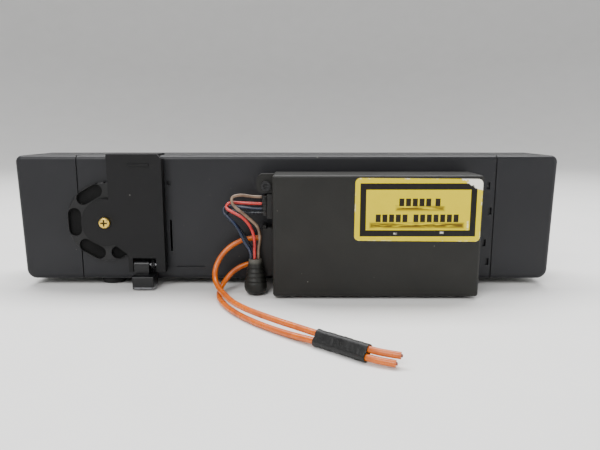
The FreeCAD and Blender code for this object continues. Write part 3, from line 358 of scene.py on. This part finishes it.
jackets = {
    "fibre_jacket": extruded("fibre_jacket", (0.58, 0.118, 0.0), (0.44, 0.075, 0.0), 0.28, 0.25),
    "fibre_core": extruded("fibre_core", (0.26, 0.045, 0.02), (0.16, 0.03, 0.015), 0.25, 0.5),
    # the brown wire's base is lightened to a pale tan as a painted sheen
    "wire_brown": extruded("wire_brown", (0.20, 0.135, 0.088), (0.10, 0.055, 0.03), 0.3, 0.3),
    "wire_red": extruded("wire_red", (0.50, 0.028, 0.022), (0.34, 0.014, 0.012), 0.27, 0.3),
    "wire_blue": extruded("wire_blue", (0.009, 0.017, 0.045), (0.005, 0.009, 0.022), 0.27, 0.3),
    "wire_black": extruded("wire_black", (0.006, 0.009, 0.015), (0.004, 0.005, 0.008), 0.28, 0.2),
}
print(len(jackets), "jackets")

# %% [markdown]
# ## Boards and glass
# A circuit board is green lacquer over copper. Copper tracks show as a slightly lighter green in straight
# lines, which a brick pattern lays out well enough for a board that sits inside a case. The window, the
# lenses and the prisms are clear glass with a little dust on it, and the grating is the same with fine
# upright rulings.

# %% Circuit boards, glass and grating
def circuit_board(name):
    finish = Finish(name)
    turned = {0: finish.here(), "Scale": (1, 1, 1), "Rotation": (1.57, 0, 0)}
    where = finish.add("ShaderNodeMapping", inputs=turned)
    tracks = finish.add("ShaderNodeTexBrick", {"offset": 0.37}, {
        "Vector": where, "Scale": 1000, "Mortar Size": 0.12, "Mortar Smooth": 0.3, "Brick Width": 5.3,
        "Row Height": 1.3}, "Fac")
    lacquer = finish.blend(tracks, (0.012, 0.075, 0.028), (0.03, 0.16, 0.06))
    return finish.surface(base_color=lacquer, roughness=0.3 + finish.noise(4) * 0.12,
                          normal=finish.bump(tracks, 0.02))


def glass(name, colour, ruled=False):
    finish = Finish(name)
    dust = finish.specks(2.6, 0.2, 0.25)
    haze = finish.noise(12, 4).rise(0.45, 0.9)
    if ruled:
        lines = finish.add("ShaderNodeTexWave", {"bands_direction": "Y"},
                           {"Vector": finish.here(), "Scale": 450, "Distortion": 0.0})
        tone = finish.blend(lines, colour, (0.3, 0.16, 0.45))
    else:
        tone = finish.blend(dust, colour, (0.7, 0.7, 0.68))
    return finish.surface(base_color=tone, roughness=0.04 + haze * 0.08 + dust * 0.4, ior=1.5,
                          alpha=0.16 + haze * 0.06 + dust * 0.4)


others = {
    "circuit_board": circuit_board("circuit_board"),
    "clear_glass": glass("clear_glass", (0.20, 0.24, 0.24)),
    "grating_glass": glass("grating_glass", (0.2, 0.24, 0.34), True),
}
print(len(others), "others")

# %% [markdown]
# ## The sticker's print
# A laser box always carries a yellow sticker with a black border. Ours says nothing: two rows of dark
# blocks stand for the words, so no warning is copied. The print is a picture made of rectangles, and a
# rectangle is a sum: how far a point is from the centre, less half the size, along whichever side is
# further out. Old ink smears under each row, a corner has lost its colour, and a few fine scratches show
# the white film below.

# %% Print made of rectangles
label_low, label_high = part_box("laser_label")
label_middle = (label_low + label_high) / 2 / MM
label_half = (label_high - label_low) / 2 / MM


def printed_label(name):
    finish = Finish(name)
    right = finish.along("X") - label_middle.x
    up = finish.along("Z") - label_middle.z

    def block(width, height, across=0.0, above=0.0, soft=0.08):
        outside = (abs(right - across) - width / 2).either(abs(up - above) - height / 2)
        return outside.rise(soft, -soft)

    def word(letters, start, above):
        """A row of equal bars that stands in for a word, and is none."""
        step, tall = 2.75, 3.2
        bars = abs((right - start) % step - step / 2) < 1.02
        return bars * block(letters * step, tall, start + letters * step / 2, above)

    border = block(label_half.x * 2 - 4.3, label_half.z * 2 - 4.0)
    field = block(label_half.x * 2 - 9.2, label_half.z * 2 - 9.2)
    text = word(5, -8.2, 3.2).either(word(1, 6.6, 3.2))
    text = text.either(word(5, -17.7, -3.4)).either(word(7, -2.2, -3.4))
    streaks = finish.noise(3, 4, (0.3, 1, 2.6)).rise(0.33, 0.5)
    smear = block(19.5, 1.7, 0.8, 0.75, 0.8).either(block(38.5, 2.0, -0.4, -6.4, 0.8)) * streaks
    grime = finish.noise(8, 6).rise(0.45, 0.8)
    scratch = block(0.5, 3.4, 20.6, -6.4, 0.4).either(block(1.3, 0.7, 10.0, -9.4, 0.35))
    scratch = scratch.either(block(1.2, 0.5, -9.2, -9.8, 0.3)) * finish.noise(0.9, 2).rise(0.36, 0.5)
    corner = (right + up * 1.8 + finish.noise(2.2, 5) * 11).rise(45.2, 46.4)
    rim = 1 - block(label_half.x * 2 - 0.6, label_half.z * 2 - 0.6, soft=0.25)

    ground = finish.blend(grime * 0.35, (0.64, 0.51, 0.0), (0.52, 0.40, 0.0))
    inked = finish.blend(border * (1 - field), ground, (0.006, 0.005, 0.003))
    smeared = finish.blend(smear * 0.95, inked, (0.07, 0.03, 0.0))
    lettered = finish.blend(text, smeared, (0.012, 0.008, 0.001))
    bare = corner.either(scratch * 0.8).either(rim * finish.noise(3, 3).rise(0.5, 0.7) * 0.8)
    return finish.surface(base_color=finish.blend(bare, lettered, (0.80, 0.78, 0.68)),
                          roughness=0.46 + grime * 0.15 + smear * 0.12 + bare * 0.2,
                          specular_ior_level=0.22,
                          normal=finish.bump(grime * 0.4 + bare + text * 0.15, 0.03))


finishes = {**plastics, **rubbers, **metals, **jackets, **others, "label": printed_label("label")}
print("label", [round(side * 2, 1) for side in label_half], "mm")

# %% [markdown]
# ## Dress the frame
# Each CAD node names the slot it was designed with, so one loop hands every node its finish. Nothing is
# moved: the nodes that stay are already the right shape, and the ones that we model again are hidden when
# their piece claims them.

# %% Hand out the finishes
for name, part in nodes.items():
    part.data.materials.clear()
    part.data.materials.append(finishes[slot_of[name]])
print("dressed", len(nodes), "nodes in", len(finishes), "finishes")

# %% [markdown]
# ## Tools for modelling
# Blender's operators act on whatever is selected, which is quick at the desk and treacherous in a script.
# These few helpers keep it honest: one picks a single object, one goes into edit mode with only the
# faces, edges or corners that pass a test, one adds a modifier and applies it at once, and one copies a
# piece to another place.

# %% Picking, editing and finishing
def pick(piece):
    bpy.ops.object.select_all(action="DESELECT")
    piece.select_set(True)
    bpy.context.view_layer.objects.active = piece
    return piece


def edit(piece, wanted, kind="FACE"):
    """Opens the piece in edit mode with only what passes the test selected."""
    pick(piece)
    bpy.ops.object.mode_set(mode="EDIT")
    bpy.ops.mesh.select_mode(type=kind)
    bpy.ops.mesh.select_all(action="DESELECT")
    mesh = bmesh.from_edit_mesh(piece.data)
    mesh.normal_update()
    for item in {"FACE": mesh.faces, "EDGE": mesh.edges, "VERT": mesh.verts}[kind]:
        item.select_set(bool(wanted(item)))
    bmesh.update_edit_mesh(piece.data)


def done():
    bpy.ops.object.mode_set(mode="OBJECT")


def modified(piece, kind, **settings):
    pick(piece)
    modifier = piece.modifiers.new(kind.title(), kind)
    for name, setting in settings.items():
        setattr(modifier, name, setting)
    bpy.ops.object.modifier_apply(modifier=modifier.name)
    return piece


def copied(piece, shift):
    """A copy with a mesh of its own, moved by a shift."""
    twin = piece.copy()
    twin.data = piece.data.copy()
    twin.location = piece.location + shift
    bpy.context.scene.collection.objects.link(twin)
    return twin


def smooth(piece, degrees=35):
    pick(piece)
    bpy.ops.object.shade_smooth_by_angle(angle=math.radians(degrees))
    return piece


def settle(piece, body, slot, *stands_for):
    """Bakes the piece's place into its mesh, dresses it, and says what it rides on and stands for."""
    pick(piece)
    bpy.ops.object.transform_apply(location=True, rotation=True, scale=True)
    piece.data.materials.clear()
    piece.data.materials.append(finishes[slot])
    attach(piece, body)
    if stands_for:
        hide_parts(*stands_for)
    print(piece.name, len(piece.data.polygons), "faces")
    return piece


# %% [markdown]
# ## Soften the hard parts
# A CAD part has edges like knives. Real edges are a little round, and that thin round is what catches the
# light and tells the eye that a black thing has a shape. For a part whose form is right, a copy of its
# mesh is welded, its flat faces are joined, and every sharp edge gets a narrow bevel. Weighted normals
# then keep the flats flat beside it. A turned part is sharp only at its rims, so the same few lines suit
# it too.

# %% Bevelled copies of frame parts
def softened(name, node, body, edge_mm, rounds=2):
    piece = bpy.data.objects.new(name, nodes[node].data.copy())
    bpy.context.scene.collection.objects.link(piece)
    pick(piece)
    bpy.ops.mesh.customdata_custom_splitnormals_clear()
    edit(piece, lambda vert: True, "VERT")
    bpy.ops.mesh.remove_doubles(threshold=0.002 * MM)
    bpy.ops.mesh.dissolve_limited(angle_limit=math.radians(0.4))
    done()
    modified(piece, "BEVEL", width=edge_mm * MM, segments=rounds, limit_method="ANGLE",
             angle_limit=math.radians(32), miter_outer="MITER_ARC")
    smooth(piece)
    modified(piece, "WEIGHTED_NORMAL", weight=90, keep_sharp=True)
    return settle(piece, body, slot_of[node], node)


for name, node, body, edge_mm in (
        ("strap", "mounting_strap", "housing", 0.22), ("latch_lever", "release_latch", "latch", 0.2),
        ("clamp_wheel", "thumbwheel", "wheel", 0.18), ("pan_screw", "pivot_screw", "housing", 0.08),
        ("light_window_frame", "window_bezel", "housing", 0.2),
        ("light_shutter", "shutter", "shutter", 0.1),
        ("optical_socket", "fibre_socket", "housing", 0.2), ("plug_socket", "wire_socket", "housing", 0.25),
        ("box_screws", "module_screws", "housing", 0.12), ("bar_screws", "housing_screws", "housing", 0.06),
        ("table_of_grating", "grating_turntable", "grating_table", 0.15),
        ("bench", "optical_bench", "housing", 0.25)):
    softened(name, node, body, edge_mm)

# %% [markdown]
# ## The two fibres
# A fibre is stiff for its size: it leaves the socket level, falls in one wide bow and then runs along the
# table. A NURBS curve is right for it, because the curve is pulled by its points and never kinks at them.
# The points are the corners of the route that the CAD model was given. The order is raised to 3 after the
# points exist, since before that Blender has nothing to raise. The far ends are cut off bare, so the
# curve is capped flat.

# %% Orange fibres as NURBS curves
def cord_curve(name, corners_mm, diameter_mm):
    data = bpy.data.curves.new(name, "CURVE")
    data.dimensions = "3D"
    spline = data.splines.new("NURBS")
    spline.points.add(len(corners_mm) - 1)
    for point, corner in zip(spline.points, corners_mm):
        point.co = (*(Vector(corner) * MM), 1)
    spline.order_u = 3
    spline.use_endpoint_u = True
    data.resolution_u = 10
    data.bevel_depth = diameter_mm / 2 * MM
    data.bevel_resolution = 6
    data.use_fill_caps = True
    piece = bpy.data.objects.new(name, data)
    bpy.context.scene.collection.objects.link(piece)
    return piece


def dressed_cord(name, node, corners_mm, diameter_mm):
    piece = cord_curve(name, corners_mm, diameter_mm)
    piece.data.materials.append(finishes[slot_of[node]])
    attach(piece, "housing")
    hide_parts(node)
    return piece


fibre_width = 2.3
upper_corners = (
    (-11, -12.5, 23.5), (-15, -12.5, 23.5), (-20.5, -13.2, 22.4), (-26.6, -14.8, 18.8),
    (-30.6, -17.2, 13.2),
    (-31.4, -20.6, 7.6), (-28.6, -27, 4.5), (-24.3, -35.6, 3.8), (-20.1, -45.2, 4.0), (-12.8, -54.6, 4.0),
    (-2.2, -64.6, 3.8), (5.2, -71.2, 3.85), (11.6, -77.4, 3.95), (19.5, -83.9, 4.0), (27.2, -90.6, 3.95),
    (31.8, -93.2, 3.8), (36.6, -94.8, 3.7))
lower_corners = (
    (-11, -12.5, 12), (-14.5, -12.5, 12), (-18.9, -13.2, 11.3), (-23.6, -14.4, 8.9), (-27.2, -16.8, 5.0),
    (-28.9, -21.4, 2.0), (-28.3, -29.0, 1.25), (-25.2, -37.6, 1.2), (-21.4, -45.0, 1.2),
    (-15.8, -53.2, 1.2),
    (-8.6, -61.6, 1.2), (-0.4, -69.4, 1.3), (5.6, -74.6, 1.6), (10.7, -78.5, 1.85), (18.6, -85.0, 1.9),
    (26.3, -91.7, 1.85), (30.6, -94.3, 1.7), (34.9, -95.9, 1.6))
upper_fibre = dressed_cord("upper_fibre", "fibre_upper", upper_corners, fibre_width)
lower_fibre = dressed_cord("lower_fibre", "fibre_lower", lower_corners, fibre_width)
print("fibres of", len(upper_corners), "and", len(lower_corners), "points")

# %% [markdown]
# ## The shrink sleeve
# One sleeve of heat-shrink tube ties both fibres together. Hot, it shrank on to them, so its section is
# the shape of a rubber band round two pencils, pinched a little between them, and its open ends curl away
# from the jackets. The section is worked out at stations along the two curves themselves, so the sleeve
# can't miss them.

# %% A sleeve round both curves
def line_of(curve):
    """The points along a curve's own line, read from a copy with no thickness."""
    bare = curve.data.copy()
    bare.bevel_depth = 0
    probe = bpy.data.objects.new("probe", bare)
    bpy.context.scene.collection.objects.link(probe)
    bpy.context.view_layer.update()
    mesh = bpy.data.meshes.new_from_object(probe.evaluated_get(bpy.context.evaluated_depsgraph_get()))
    points = [vert.co.copy() for vert in mesh.vertices]
    bpy.data.objects.remove(probe)
    bpy.data.meshes.remove(mesh)
    bpy.data.curves.remove(bare)
    return points


def crossing(points, origin, way):
    """Where a line of points passes through a plane."""
    for a, b in zip(points, points[1:]):
        near, far = (a - origin).dot(way), (b - origin).dot(way)
        if near <= 0 < far:
            return a.lerp(b, near / (near - far))
    raise ValueError("the line doesn't reach the plane")


def band_section(one, other, way, radius, pinch, steps=12):
    """A closed ring round two circles, drawn in a little at the waist."""
    lift = (one - other).normalized()
    side = way.cross(lift).normalized()
    ring = []
    for centre, start in ((one, 0.0), (other, math.pi)):
        for step in range(steps + 1):
            turn = start + math.pi * step / steps
            ring.append(centre + (side * math.cos(turn) + lift * math.sin(turn)) * radius)
        waist = centre.lerp(other if start == 0 else one, 0.5)
        ring.append(waist + side * (math.cos(start + math.pi) * (radius - pinch)))
    return ring


sleeve_start, sleeve_end = Vector((11.65, -78.1, 2.9)) * MM, Vector((26.9, -91.25, 2.9)) * MM
sleeve_way = (sleeve_end - sleeve_start).normalized()
lines = [line_of(fibre) for fibre in (upper_fibre, lower_fibre)]
random.seed(4)
stations, mesh = 34, bmesh.new()
outer_rings, inner_rings = [], []
for station in range(stations + 1):
    along = station / stations
    centre = sleeve_start.lerp(sleeve_end, along)
    pair = [crossing(line, centre, sleeve_way) for line in lines]
    lip = max(0.0, 1 - min(along, 1 - along) * 14)
    wrinkle = math.sin(along * 61) * 0.035 + math.sin(along * 23 + 1) * 0.05 + random.uniform(-0.02, 0.02)
    for rings, thick in ((outer_rings, 0.5), (inner_rings, 0.12)):
        radius = (fibre_width / 2 + thick + (wrinkle if thick > 0.3 else 0) + 0.08 * lip) * MM
        ring = band_section(*pair, sleeve_way, radius, (0.3 if thick > 0.3 else 0.1) * MM)
        rings.append([mesh.verts.new(corner) for corner in ring])
for rings, flip in ((outer_rings, False), (inner_rings, True)):
    for near, far in zip(rings, rings[1:]):
        for n in range(len(near)):
            m = (n + 1) % len(near)
            corners = (near[n], near[m], far[m], far[n])
            mesh.faces.new(corners[::-1] if flip else corners)
for outer, inner in ((outer_rings[0], inner_rings[0]), (outer_rings[-1], inner_rings[-1])):
    for n in range(len(outer)):
        m = (n + 1) % len(outer)
        mesh.faces.new((outer[n], outer[m], inner[m], inner[n]))
bmesh.ops.recalc_face_normals(mesh, faces=mesh.faces)
sleeve_mesh = bpy.data.meshes.new("shrunk_sleeve")
mesh.to_mesh(sleeve_mesh)
mesh.free()
sleeve = bpy.data.objects.new("shrunk_sleeve", sleeve_mesh)
bpy.context.scene.collection.objects.link(sleeve)
smooth(sleeve, 50)
settle(sleeve, "housing", "shrink_sleeve", "fibre_sleeve")

print("sleeve is", round((sleeve_end - sleeve_start).length / MM, 1), "mm long")

# %% [markdown]
# ## The four wires
# Thin hook-up wires leave the plug level, fold back on themselves and drop into the boot. They are held
# at both ends, so each keeps the tight fold that somebody's fingers gave it when the lid went on. They
# are the same kind of curve as the fibres, with bends a quarter as wide.

# %% Wires from the plug to the boot
wire_width = 1.3
wires = {
    "brown_wire": ((-10.5, -17, 42.3), (-14.5, -17, 42.3), (-19.2, -17.6, 43.3), (-23.4, -18.8, 42.6),
                   (-22.9, -19.8, 39.2), (-19.3, -20.6, 36.4), (-15.2, -21.2, 33.2), (-11.6, -21.8, 29.8),
                   (-11.0, -21.8, 24.8), (-11.9, -20.9, 20.6), (-11.9, -20.9, 16)),
    "red_wire": ((-10.5, -17, 39.4), (-14.5, -17, 39.4), (-20.5, -16.6, 39.7), (-24.6, -17.0, 40.0),
                 (-26.2, -18.2, 37.6), (-22.6, -19.2, 35.8), (-17.6, -20.4, 33.4), (-14.2, -21.6, 28.6),
                 (-13.3, -22.0, 23.4), (-13.5, -21.5, 19.8), (-13.5, -21.5, 16)),
    "blue_wire": ((-10.5, -17, 37.2), (-14.2, -17, 37.2), (-20.4, -15.4, 37.7), (-26.4, -15.8, 38.2),
                  (-27.4, -17.6, 35.6), (-23.4, -18.8, 32.6), (-20.0, -20.0, 28.0), (-17.6, -21.0, 22.6),
                  (-15.1, -20.9, 19.2), (-15.1, -20.9, 16)),
    "black_wire": ((-10.5, -17, 35.4), (-14, -17, 35.4), (-19.6, -14.8, 35.2), (-25.4, -14.4, 36.2),
                   (-26.3, -16.2, 33.2), (-22.0, -17.4, 30.6), (-18.4, -18.6, 26.4), (-16.0, -19.6, 21.6),
                   (-14.0, -19.2, 19.0), (-14.0, -19.2, 16)),
}
for node, corners in wires.items():
    wire = dressed_cord(node.replace("_wire", "_lead"), node, corners, wire_width)
print(len(wires), "wires")

# %% [markdown]
# ## The rubber boot
# Where a bundle of wires goes into the housing it gets a rubber boot: wide at the foot, narrow at the
# top, with a few grooves so that it can flex. It is a turned shape, so it is made like a pot on a wheel.
# One ring of corners is extruded upwards again and again, and each new ring is widened or drawn in.

# %% Throw the boot like a pot
def thrown(name, centre, rings, corners=40):
    """A turned piece from (radius, height) rings in millimetres, closed at both ends."""
    first_radius, first_height = rings[0]
    bpy.ops.object.select_all(action="DESELECT")
    bpy.ops.mesh.primitive_circle_add(vertices=corners, radius=first_radius * MM, fill_type="NGON",
                                      location=centre + Vector((0, 0, first_height * MM)))
    piece = bpy.context.object
    piece.name = name
    edit(piece, lambda face: True)
    bpy.ops.mesh.select_mode(type="EDGE")
    for (before, low), (radius, height) in zip(rings, rings[1:]):
        bpy.ops.mesh.extrude_region_move(TRANSFORM_OT_translate={"value": (0, 0, (height - low) * MM)})
        ratio = radius / before
        bpy.ops.transform.resize(value=(ratio, ratio, 1), center_override=centre)
    bpy.ops.mesh.select_all(action="SELECT")
    bpy.ops.mesh.normals_make_consistent(inside=False)
    done()
    return piece


boot_centre = Vector((-13.3, -20.5, 0)) * MM
boot_rings = [(0.6, 0.8), (3.1, 0.8), (4.0, 1.1), (4.7, 2.2), (4.9, 3.4), (4.85, 5.0)]
for groove in range(4):
    level = 5.6 + groove * 1.9
    wide = 4.75 - groove * 0.38
    boot_rings += [(wide, level), (wide - 0.3, level + 0.35), (wide - 0.33, level + 0.75),
                   (wide - 0.1, level + 1.05)]
boot_rings += [(3.25, 13.3), (3.0, 14.6), (2.9, 15.4), (2.7, 15.9), (2.2, 16.0), (1.6, 15.85), (0.3, 15.8)]
boot = thrown("flexing_boot", boot_centre, boot_rings)
bpy.ops.mesh.primitive_cylinder_add(vertices=24, radius=1.8 * MM, depth=13.5 * MM,
                                    location=(boot_centre.x, boot_centre.y + 9.25 * MM, 7.6 * MM),
                                    rotation=(math.pi / 2, 0, 0))
neck = bpy.context.object
modified(neck, "BEVEL", width=0.3 * MM, segments=2, limit_method="ANGLE")
pick(boot)
neck.select_set(True)
bpy.ops.object.join()
smooth(boot, 40)
settle(boot, "housing", "boot_rubber", "cable_boot")

# %% [markdown]
# ## The sticker as a film
# The sticker is a sheet of thin film, put on by hand, so it sits half a degree off level. A plane is
# scaled to its size, its four corners are rounded by a bevel on corners only, and it is turned a little.
# Solidify then gives the film its thickness towards the lid.

# %% Cut and lay the sticker
bpy.ops.object.select_all(action="DESELECT")
bpy.ops.mesh.primitive_plane_add(size=1, location=label_middle * MM, rotation=(math.pi / 2, 0, 0))
sticker = bpy.context.object
sticker.name = "sticker"
sticker.scale = (label_half.x * 2 * MM, label_half.z * 2 * MM, 1)
bpy.ops.object.transform_apply(location=False, rotation=False, scale=True)
edit(sticker, lambda vert: True, "VERT")
bpy.ops.mesh.bevel(offset=2 * MM, segments=6, affect="VERTICES")
done()
sticker.rotation_euler = (math.pi / 2, math.radians(0.45), 0)
pick(sticker)
bpy.ops.object.transform_apply(location=True, rotation=True, scale=True)
film_back = label_high.y - 0.02 * MM
for vert in sticker.data.vertices:
    vert.co.y = label_low.y
modified(sticker, "SOLIDIFY", thickness=film_back - label_low.y, offset=-1)
edit(sticker, lambda face: True)
bpy.ops.mesh.normals_make_consistent(inside=False)
done()
settle(sticker, "housing", "label", "laser_label")

# %% [markdown]
# ## The plug and its wire exits
# The plug is a small moulded block with a row of round exits, one for each wire, and three ribs to grip.
# A block is added just inside the CAD size and bevelled all round. An exit is a short collar with a sunk
# middle, made from a cylinder whose front face is inset and pushed in. One collar and one rib are
# modelled, and the others are copies. All of it is joined into one piece, because it is one moulding.

# %% Block, collars and ribs
plug_low, plug_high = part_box("wire_plug")


def block(name, low, high, edge_mm):
    bpy.ops.object.select_all(action="DESELECT")
    bpy.ops.mesh.primitive_cube_add(size=1, location=(low + high) / 2)
    piece = bpy.context.object
    piece.name = name
    piece.scale = high - low
    bpy.ops.object.transform_apply(location=False, rotation=False, scale=True)
    return modified(piece, "BEVEL", width=edge_mm * MM, segments=2)


plug = block("four_way_plug", plug_low + Vector((0.6, 0.4, 0.3)) * MM,
             plug_high - Vector((0, 0, 0.3)) * MM, 0.3)
starts = [Vector(corners[0]) * MM for corners in wires.values()]
bpy.ops.object.select_all(action="DESELECT")
bpy.ops.mesh.primitive_cylinder_add(vertices=20, radius=0.85 * MM, depth=1.2 * MM,
                                    location=starts[0] + Vector((0.62, 0, 0)) * MM,
                                    rotation=(0, -math.pi / 2, 0))
collar = bpy.context.object
edit(collar, lambda face: len(face.verts) > 4 and (collar.matrix_world.to_3x3() @ face.normal).x < -0.9)
bpy.ops.mesh.inset(thickness=0.18 * MM)
bpy.ops.mesh.extrude_region_move(TRANSFORM_OT_translate={"value": (0.25 * MM, 0, 0)})
done()
rib_low, rib_spacing = plug_low + Vector((0.9, 0, 1.9)) * MM, 2.6 * MM
rib = block("rib", rib_low, rib_low + Vector((1.1, 0.6, 0.7)) * MM, 0.12)
details = [collar, rib]
details += [copied(collar, start - starts[0]) for start in starts[1:]]
details += [copied(rib, Vector((0, 0, rib_spacing * step))) for step in (1, 2)]
pick(plug)
for detail in details:
    detail.select_set(True)
bpy.context.view_layer.objects.active = plug
bpy.ops.object.join()
smooth(plug)
settle(plug, "housing", "connector", "wire_plug")

# %% [markdown]
# ## Rubber feet
# A pressed rubber foot has a dished underside with a screw well in the middle and a rounded rim. It is
# thrown like the boot, once, and copied to the other three corners with a mesh of its own each time. All
# four ride as one piece, since the frame has one node for them.

# %% One foot, four times
foot_low, foot_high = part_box("rubber_feet")
foot_radius = 5.5
foot_rings = [(0.9, 1.2), (1.7, 1.2), (1.8, 0.5), (2.4, 0.3), (3.4, 0.12), (4.4, 0.0), (5.0, 0.15),
              (5.35, 0.6), (5.5, 1.4), (5.45, 2.6), (5.2, 3.0), (0.5, 3.0)]
places = [Vector((x, y, 0))
          for x in (foot_low.x + foot_radius * MM, foot_high.x - foot_radius * MM)
          for y in (foot_low.y + foot_radius * MM, foot_high.y - foot_radius * MM)]
feet = [thrown("foot", places[0], foot_rings, 32)]
feet += [copied(feet[0], place - places[0]) for place in places[1:]]
pick(feet[0])
for foot in feet:
    foot.select_set(True)
bpy.ops.object.join()
feet[0].name = "pressed_feet"
smooth(feet[0], 40)
settle(feet[0], "housing", "rubber", "rubber_feet")

# %% [markdown]
# ## The floor and the light
# The instrument stands on a plain pale table whose rim curves up all round. A black thing is drawn by its
# reflections, so the lamps are large and near: a wide one above and behind the camera for the faces, a
# long one overhead that lays a band along the top edge, and a weak one from the right to open the
# shadows.

# %% Table and backdrop
bpy.ops.object.select_all(action="DESELECT")
bpy.ops.mesh.primitive_circle_add(vertices=96, radius=1.7, fill_type="NGON", location=(0, 0, 0))
table = bpy.context.object
table.name = "table"
edit(table, lambda edge: True, "EDGE")
bpy.ops.mesh.extrude_region_move(TRANSFORM_OT_translate={"value": (0, 0, 1.2)})
done()
modified(table, "BEVEL", width=0.8, segments=16, limit_method="ANGLE")
smooth(table, 60)
paper = Finish("paper")
table.data.materials.append(paper.surface(
    base_color=paper.blend(paper.noise(40, 3), (0.74, 0.735, 0.72), (0.79, 0.785, 0.77)), roughness=0.7))


# %% Lamps and sky
def lamp(name, place, aim, size, power, tall=None):
    data = bpy.data.lights.new(name, "AREA")
    data.energy = power
    data.size = size
    if tall:
        data.shape = "RECTANGLE"
        data.size_y = tall
    light = bpy.data.objects.new(name, data)
    bpy.context.scene.collection.objects.link(light)
    light.location = place
    light.rotation_euler = (Vector(aim) - Vector(place)).to_track_quat("-Z", "Y").to_euler()


middle = (cad_low + cad_high) / 2
lamp("key", (-0.35, -0.75, 0.75), middle, 0.6, 9.5)
lamp("overhead", (0.0, 0.22, 0.7), middle, 1.0, 13, 0.3)
lamp("fill", (0.8, -0.55, 0.35), middle, 0.6, 3)
sky = bpy.data.worlds.new("sky")
sky.use_nodes = True
sky.node_tree.nodes["Background"].inputs["Color"].default_value = (0.86, 0.87, 0.9, 1)
sky.node_tree.nodes["Background"].inputs["Strength"].default_value = 0.5
bpy.context.scene.world = sky
print("three lamps")
